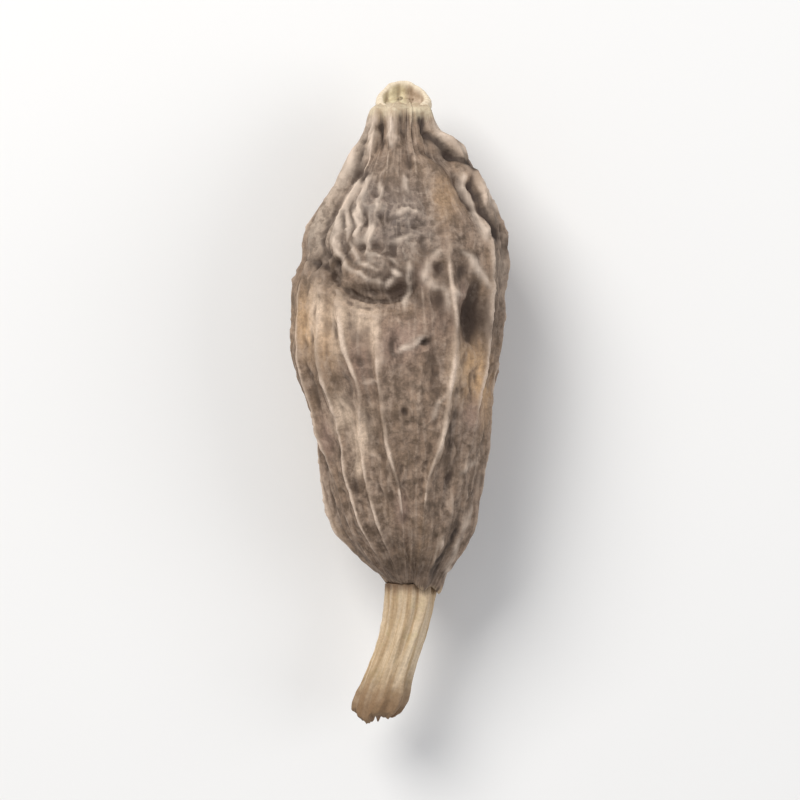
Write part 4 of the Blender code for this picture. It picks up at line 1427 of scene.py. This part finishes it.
# Painted shade towards the far end, which is a little browner, near the husk and at the collar under it;
# then the torn face's own colour.
FAR_END_BROWN_AND_SHADE, NEAR_HUSK_SHADE, COLLAR_SHADE, TORN = srgb(126, 97, 68), srgb(150, 122, 92), srgb(98, 72, 52), srgb(120, 84, 54)


def stalk_colour(wire, mottle, fleck, fibre):
    """Straw in bands, painted shade in the furrows and a painted highlight on the ridges, then painted shade
    at both ends, a little browner at the far one, and the torn face.
    """
    band = speckle(wire, grain_field(wire), 1.3, 3.0)
    down, contrast = field(wire, "down"), field(wire, "contrast")
    colour = fibre.smooth(0.3, 0.7).mix(STRAW_SHADE, STRAW_LIGHT)
    coats = [
        (band.smooth(0.45, 0.62) * 0.7, STRAW_CREAM),
        (band.smooth(0.55, 0.38) * 0.6, STRAW_TAN),
        (mottle.smooth(0.5, 0.75) * 0.35, STRAW_GREEN),
        # painted shade in the furrows and a painted highlight on the ridges
        ((contrast * -1.0).shaken(fibre, 0.05).smooth(0.02, 0.14) * 0.6, FURROW_SHADE),
        (contrast.shaken(fibre, 0.06).smooth(0.03, 0.13) * 0.5, RIDGE_HIGHLIGHT),
        # painted shade towards the far end, a little browner, and near the husk
        (down.shaken(mottle, 0.3).smooth(0.55, 0.95) * 0.9, FAR_END_BROWN_AND_SHADE),
        ((1 - down.shaken(mottle, 0.2).smooth(0.0, 0.4)) * 0.35, NEAR_HUSK_SHADE),
        ((1 - down.shaken(fibre, 0.12).smooth(0.0, 0.10)) * 0.8, COLLAR_SHADE),
        (field(wire, "inside") * fibre.smooth(0.35, 0.6) * 0.7, TORN),
    ]
    for amount, over in coats:
        colour = amount.mix(colour, over)
    return fleck.smooth(0.3, 0.7).lighten(colour, 0.88, 1.08)


def stalk_finish():
    """The stalk's colour, with a roughness and a fine bump from the same noises."""
    material, shader, wire = new_finish("dried_stalk_skin", 0.4)
    spot = millimetres(wire)
    mottle, fleck = speckle(wire, spot, 1.2, 5.0), speckle(wire, spot, 6.0, 3.0)
    fibre = speckle(wire, grain_field(wire), 8.0, 5.0, 0.7)
    colour = stalk_colour(wire, mottle, fleck, fibre)
    bump = fine_bump(wire, fibre * 0.75 + fleck * 0.25, 0.5, 0.08)
    connect(shader, base_color=colour, roughness=0.52 + 0.25 * mottle, normal=bump)
    return material


pod_stalk.data.materials.append(stalk_finish())
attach(pod_stalk, "root")
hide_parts("stalk")
print("stalk finish has", len(pod_stalk.data.materials[0].node_tree.nodes), "nodes")

# %% [markdown]
# ## The withered rim of the flower
#
# At the tip sits what is left of the flower: a small pale collar, bent so that its hollow looks
# upwards. Its rings go up the outside, over the lip and down into the hollow, and each has a radius
# and a distance along the collar. The collar tilts more the further a ring is from the root, which
# makes the far wall stand up behind the hollow like a hood.

# %% The rim's grid
RIM_RIBS, RIM_SAMPLES = 9, 24
RIM_TILT = math.radians(50)
RIM_RIB_HEIGHT, RIM_FLATTEN = 0.03, 0.32
RIM_RADIUS = [0.45, 0.9, 0.9, 1.5, 1.7, 1.74, 1.72, 1.66, 1.5, 1.32, 1.18, 1.05, 0.7, 0.35]
RIM_ALONG = [-0.9, -0.9, 0.0, 0.02, 0.12, 0.3, 0.5, 0.68, 0.8, 0.78, 0.66, 0.5, 0.46, 0.5]
RIM_START = 0.25
RIM_STEPS = 7
RIM_HOLLOW_STATIONS = (9.6, 11.2)
RIM_PLEAT_HEIGHT, RIM_PLEAT_SPACING, RIM_CRINKLE_HEIGHT = 0.10, 0.75, 0.015


def rim():
    """Rings by columns of the rim, with its material's fields. Each ring is a circle of the curved
    radius, with nine small ribs and crinkles, flattened above and tilted by an angle that grows
    along the collar. Pleats cos(2 pi side / spacing) cross the hollow."""
    count = RIM_RIBS * RIM_SAMPLES
    angle = 2 * math.pi * np.arange(count)[None, :] / count
    turn = angle / (2 * math.pi)
    stations = np.arange(len(RIM_RADIUS) + 2)
    where = np.linspace(0, stations[-1], stations[-1] * RIM_STEPS + 1)[:, None]
    radius = curve(where, stations, [0.0] + RIM_RADIUS + [0.0])
    along = curve(where, stations, [RIM_ALONG[0]] + RIM_ALONG + [RIM_ALONG[-1]])
    outside = ease(along, 0.05, 0.3) * ease(radius, 0.7, 1.5)
    crinkle = noise(turn + 0 * where, where / stations[-1], 26, 12, 41)
    crinkle = crinkle + 0.6 * noise(turn + 0 * where, where / stations[-1], 54, 24, 42)
    relief = RIM_RIB_HEIGHT * outside * np.cos(RIM_RIBS * angle)
    relief = relief + RIM_CRINKLE_HEIGHT * crinkle * ease(along, 0.0, 0.3)
    radius = np.maximum(radius + relief * ease(radius, 0.2, 0.9), 0)
    radius = radius * (1 - RIM_FLATTEN * outside * ease(np.sin(angle), 0, 1))
    radius[0], radius[-1] = 0, 0
    along = along + 0.05 * outside * np.sin(3 * angle + 0.5) + 0.01 * outside * crinkle
    tilt = RIM_TILT * ease(along, 0.0, 0.9)
    height = HUSK_LENGTH + RIM_START + along * np.cos(tilt / 2) - radius * np.sin(angle) * np.sin(tilt)
    up = along * np.sin(tilt / 2) + radius * np.sin(angle) * np.cos(tilt)
    hollow = ease(where, *RIM_HOLLOW_STATIONS) + 0 * angle
    side = radius * np.cos(angle)
    waves = np.cos(2 * math.pi * (side - 0.1) / RIM_PLEAT_SPACING)
    pleated = hollow * ease(radius, 0.1, 0.5) * waves
    up = up + RIM_PLEAT_HEIGHT * pleated
    grain = np.stack([2 * np.cos(angle) + 0 * where, 2 * np.sin(angle) + 0 * where, 0.15 * height], axis=2)
    stain = hollow * (1 - ease(side, -0.2, 0.6))
    contrast = relief - soften(relief, 6, 3) + 0.06 * pleated
    fields = {"contrast": contrast, "hollow": hollow, "stain": stain, "grain": grain}
    return to_frame(side, height, up), fields


pod_rim = closed_piece("pod_flower_rim", *rim())

# %% [markdown]
# ## The finish of the rim
#
# The rim is papery and the palest part of the pod, with a yellow-green stain in its hollow, a brown of
# painted shade in the rest of the hollow under the lip, and painted shade between its small ribs.

# %% The finish of the rim
CREAM_SHADE, CREAM_LIGHT = srgb(204, 186, 160), srgb(226, 212, 188)
HOLLOW_SHADE, HOLLOW_LIGHT = srgb(158, 136, 114), srgb(192, 170, 147)
STAIN_SHADE, STAIN_LIGHT = srgb(192, 176, 140), srgb(214, 202, 168)
# Painted shade between the small ribs and in the pleats' valleys.
SHADE_BETWEEN_RIBS = srgb(122, 98, 76)


def rim_finish():
    """Cream, then the hollow's brown as painted shade, its stain, and painted shade between the small ribs.
    """
    material, shader, wire = new_finish("withered_rim_skin", 0.35)
    mottle = speckle(wire, millimetres(wire), 2.0, 5.0)
    fibre = speckle(wire, grain_field(wire), 7.0, 4.0, 0.7)
    colour = fibre.smooth(0.3, 0.7).mix(CREAM_SHADE, CREAM_LIGHT)
    # painted shade: the hollow is browner under the lip
    inner = mottle.smooth(0.35, 0.65).mix(HOLLOW_SHADE, HOLLOW_LIGHT)
    colour = (field(wire, "hollow") * 0.9).mix(colour, inner)
    stained = mottle.smooth(0.3, 0.6).mix(STAIN_SHADE, STAIN_LIGHT)
    colour = (field(wire, "stain") * 0.9).mix(colour, stained)
    # painted shade between the small ribs and in the pleats' valleys
    deep = (field(wire, "contrast") * -1.0).shaken(mottle, 0.05).smooth(0.0, 0.08)
    colour = (deep * 0.6).mix(colour, SHADE_BETWEEN_RIBS)
    bump = fine_bump(wire, fibre * 0.6 + mottle * 0.4, 0.5, 0.08)
    connect(shader, base_color=colour, roughness=0.6 + 0.2 * mottle, normal=bump)
    return material


pod_rim.data.materials.append(rim_finish())
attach(pod_rim, "root")
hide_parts("flower_rim")
print("rim finish has", len(pod_rim.data.materials[0].node_tree.nodes), "nodes")

# %% [markdown]
# ## The table
#
# The pod lies on a plain pale board, so that nothing competes with its browns and its shadow shows
# where it touches. One large square is enough, and it isn't part
# of the object.

# %% The table
FLOOR_SIZE = 1.2


def pale_floor():
    """A square of pale, dull board, as the stage that the pod lies on."""
    material, shader, _ = new_finish("pale_floor", 0.5)
    connect(shader, base_color=srgb(232, 231, 229), roughness=0.8)
    half = FLOOR_SIZE / 2
    corners = [(-half, -half, 0), (half, -half, 0), (half, half, 0), (-half, half, 0)]
    mesh = bpy.data.meshes.new("floor")
    mesh.from_pydata(corners, [], [(0, 1, 2, 3)])
    mesh.materials.append(material)
    floor = bpy.data.objects.new("floor", mesh)
    bpy.context.scene.collection.objects.link(floor)
    return floor


pale_floor()
print("the floor is", FLOOR_SIZE, "m wide")

# %% [markdown]
# ## The light
#
# One large soft light stands beyond the tip, a little to the left, and a weaker one fills from the
# right. It is the low light that shows the ribs. A small lamp would show them harder, but would look
# like the sun. A pale sky lifts the shadows, and the Standard view keeps the browns as they were
# mixed.

# %% The light
AIM = Vector((0, 0, 0.006))


def soft_light(name, direction, distance, size, power, colour):
    """A square area light at this distance in this direction, turned towards the pod."""
    data = bpy.data.lights.new(name, "AREA")
    data.size = size
    data.energy = power
    data.color = colour
    lamp = bpy.data.objects.new(name, data)
    lamp.location = AIM + Vector(direction).normalized() * distance
    lamp.rotation_euler = (AIM - lamp.location).to_track_quat("-Z", "Y").to_euler()
    bpy.context.scene.collection.objects.link(lamp)
    return lamp


soft_light("key", (-0.50, 0.65, 0.85), 0.40, 0.22, 1.45, (1.0, 0.985, 0.96))
soft_light("fill", (0.9, 0.0, 0.7), 0.45, 0.30, 0.60, (0.97, 0.98, 1.0))
world = bpy.data.worlds.new("studio")
world.use_nodes = True
world.node_tree.nodes["Background"].inputs["Color"].default_value = (0.93, 0.95, 1.0, 1.0)
world.node_tree.nodes["Background"].inputs["Strength"].default_value = 0.45
bpy.context.scene.world = world
bpy.context.scene.view_settings.view_transform = "Standard"

print("lamps:", [(lamp.name, round(lamp.energy, 2)) for lamp in bpy.data.lights])

# %% [markdown]
# ## The camera
#
# The photograph shows the pod upright and from the front, and here it lies down, so the camera looks
# straight down on it and the picture's up is the frame's +Y. A lens is chosen from the distance, so
# that a square of five centimetres at the height of the pod's axis fills the picture.

# %% The camera
VIEW_HEIGHT = 0.30
FRAME_SIZE = 0.0495

camera_data = bpy.data.cameras.new("camera")
camera_data.sensor_width = 36.0
camera_data.lens = camera_data.sensor_width * (VIEW_HEIGHT - AXIS_Z * MM) / FRAME_SIZE
camera = bpy.data.objects.new("camera", camera_data)
camera.location = (0.0, 0.0, VIEW_HEIGHT)
bpy.context.scene.collection.objects.link(camera)
bpy.context.scene.camera = camera
print("lens:", round(camera_data.lens), "mm")
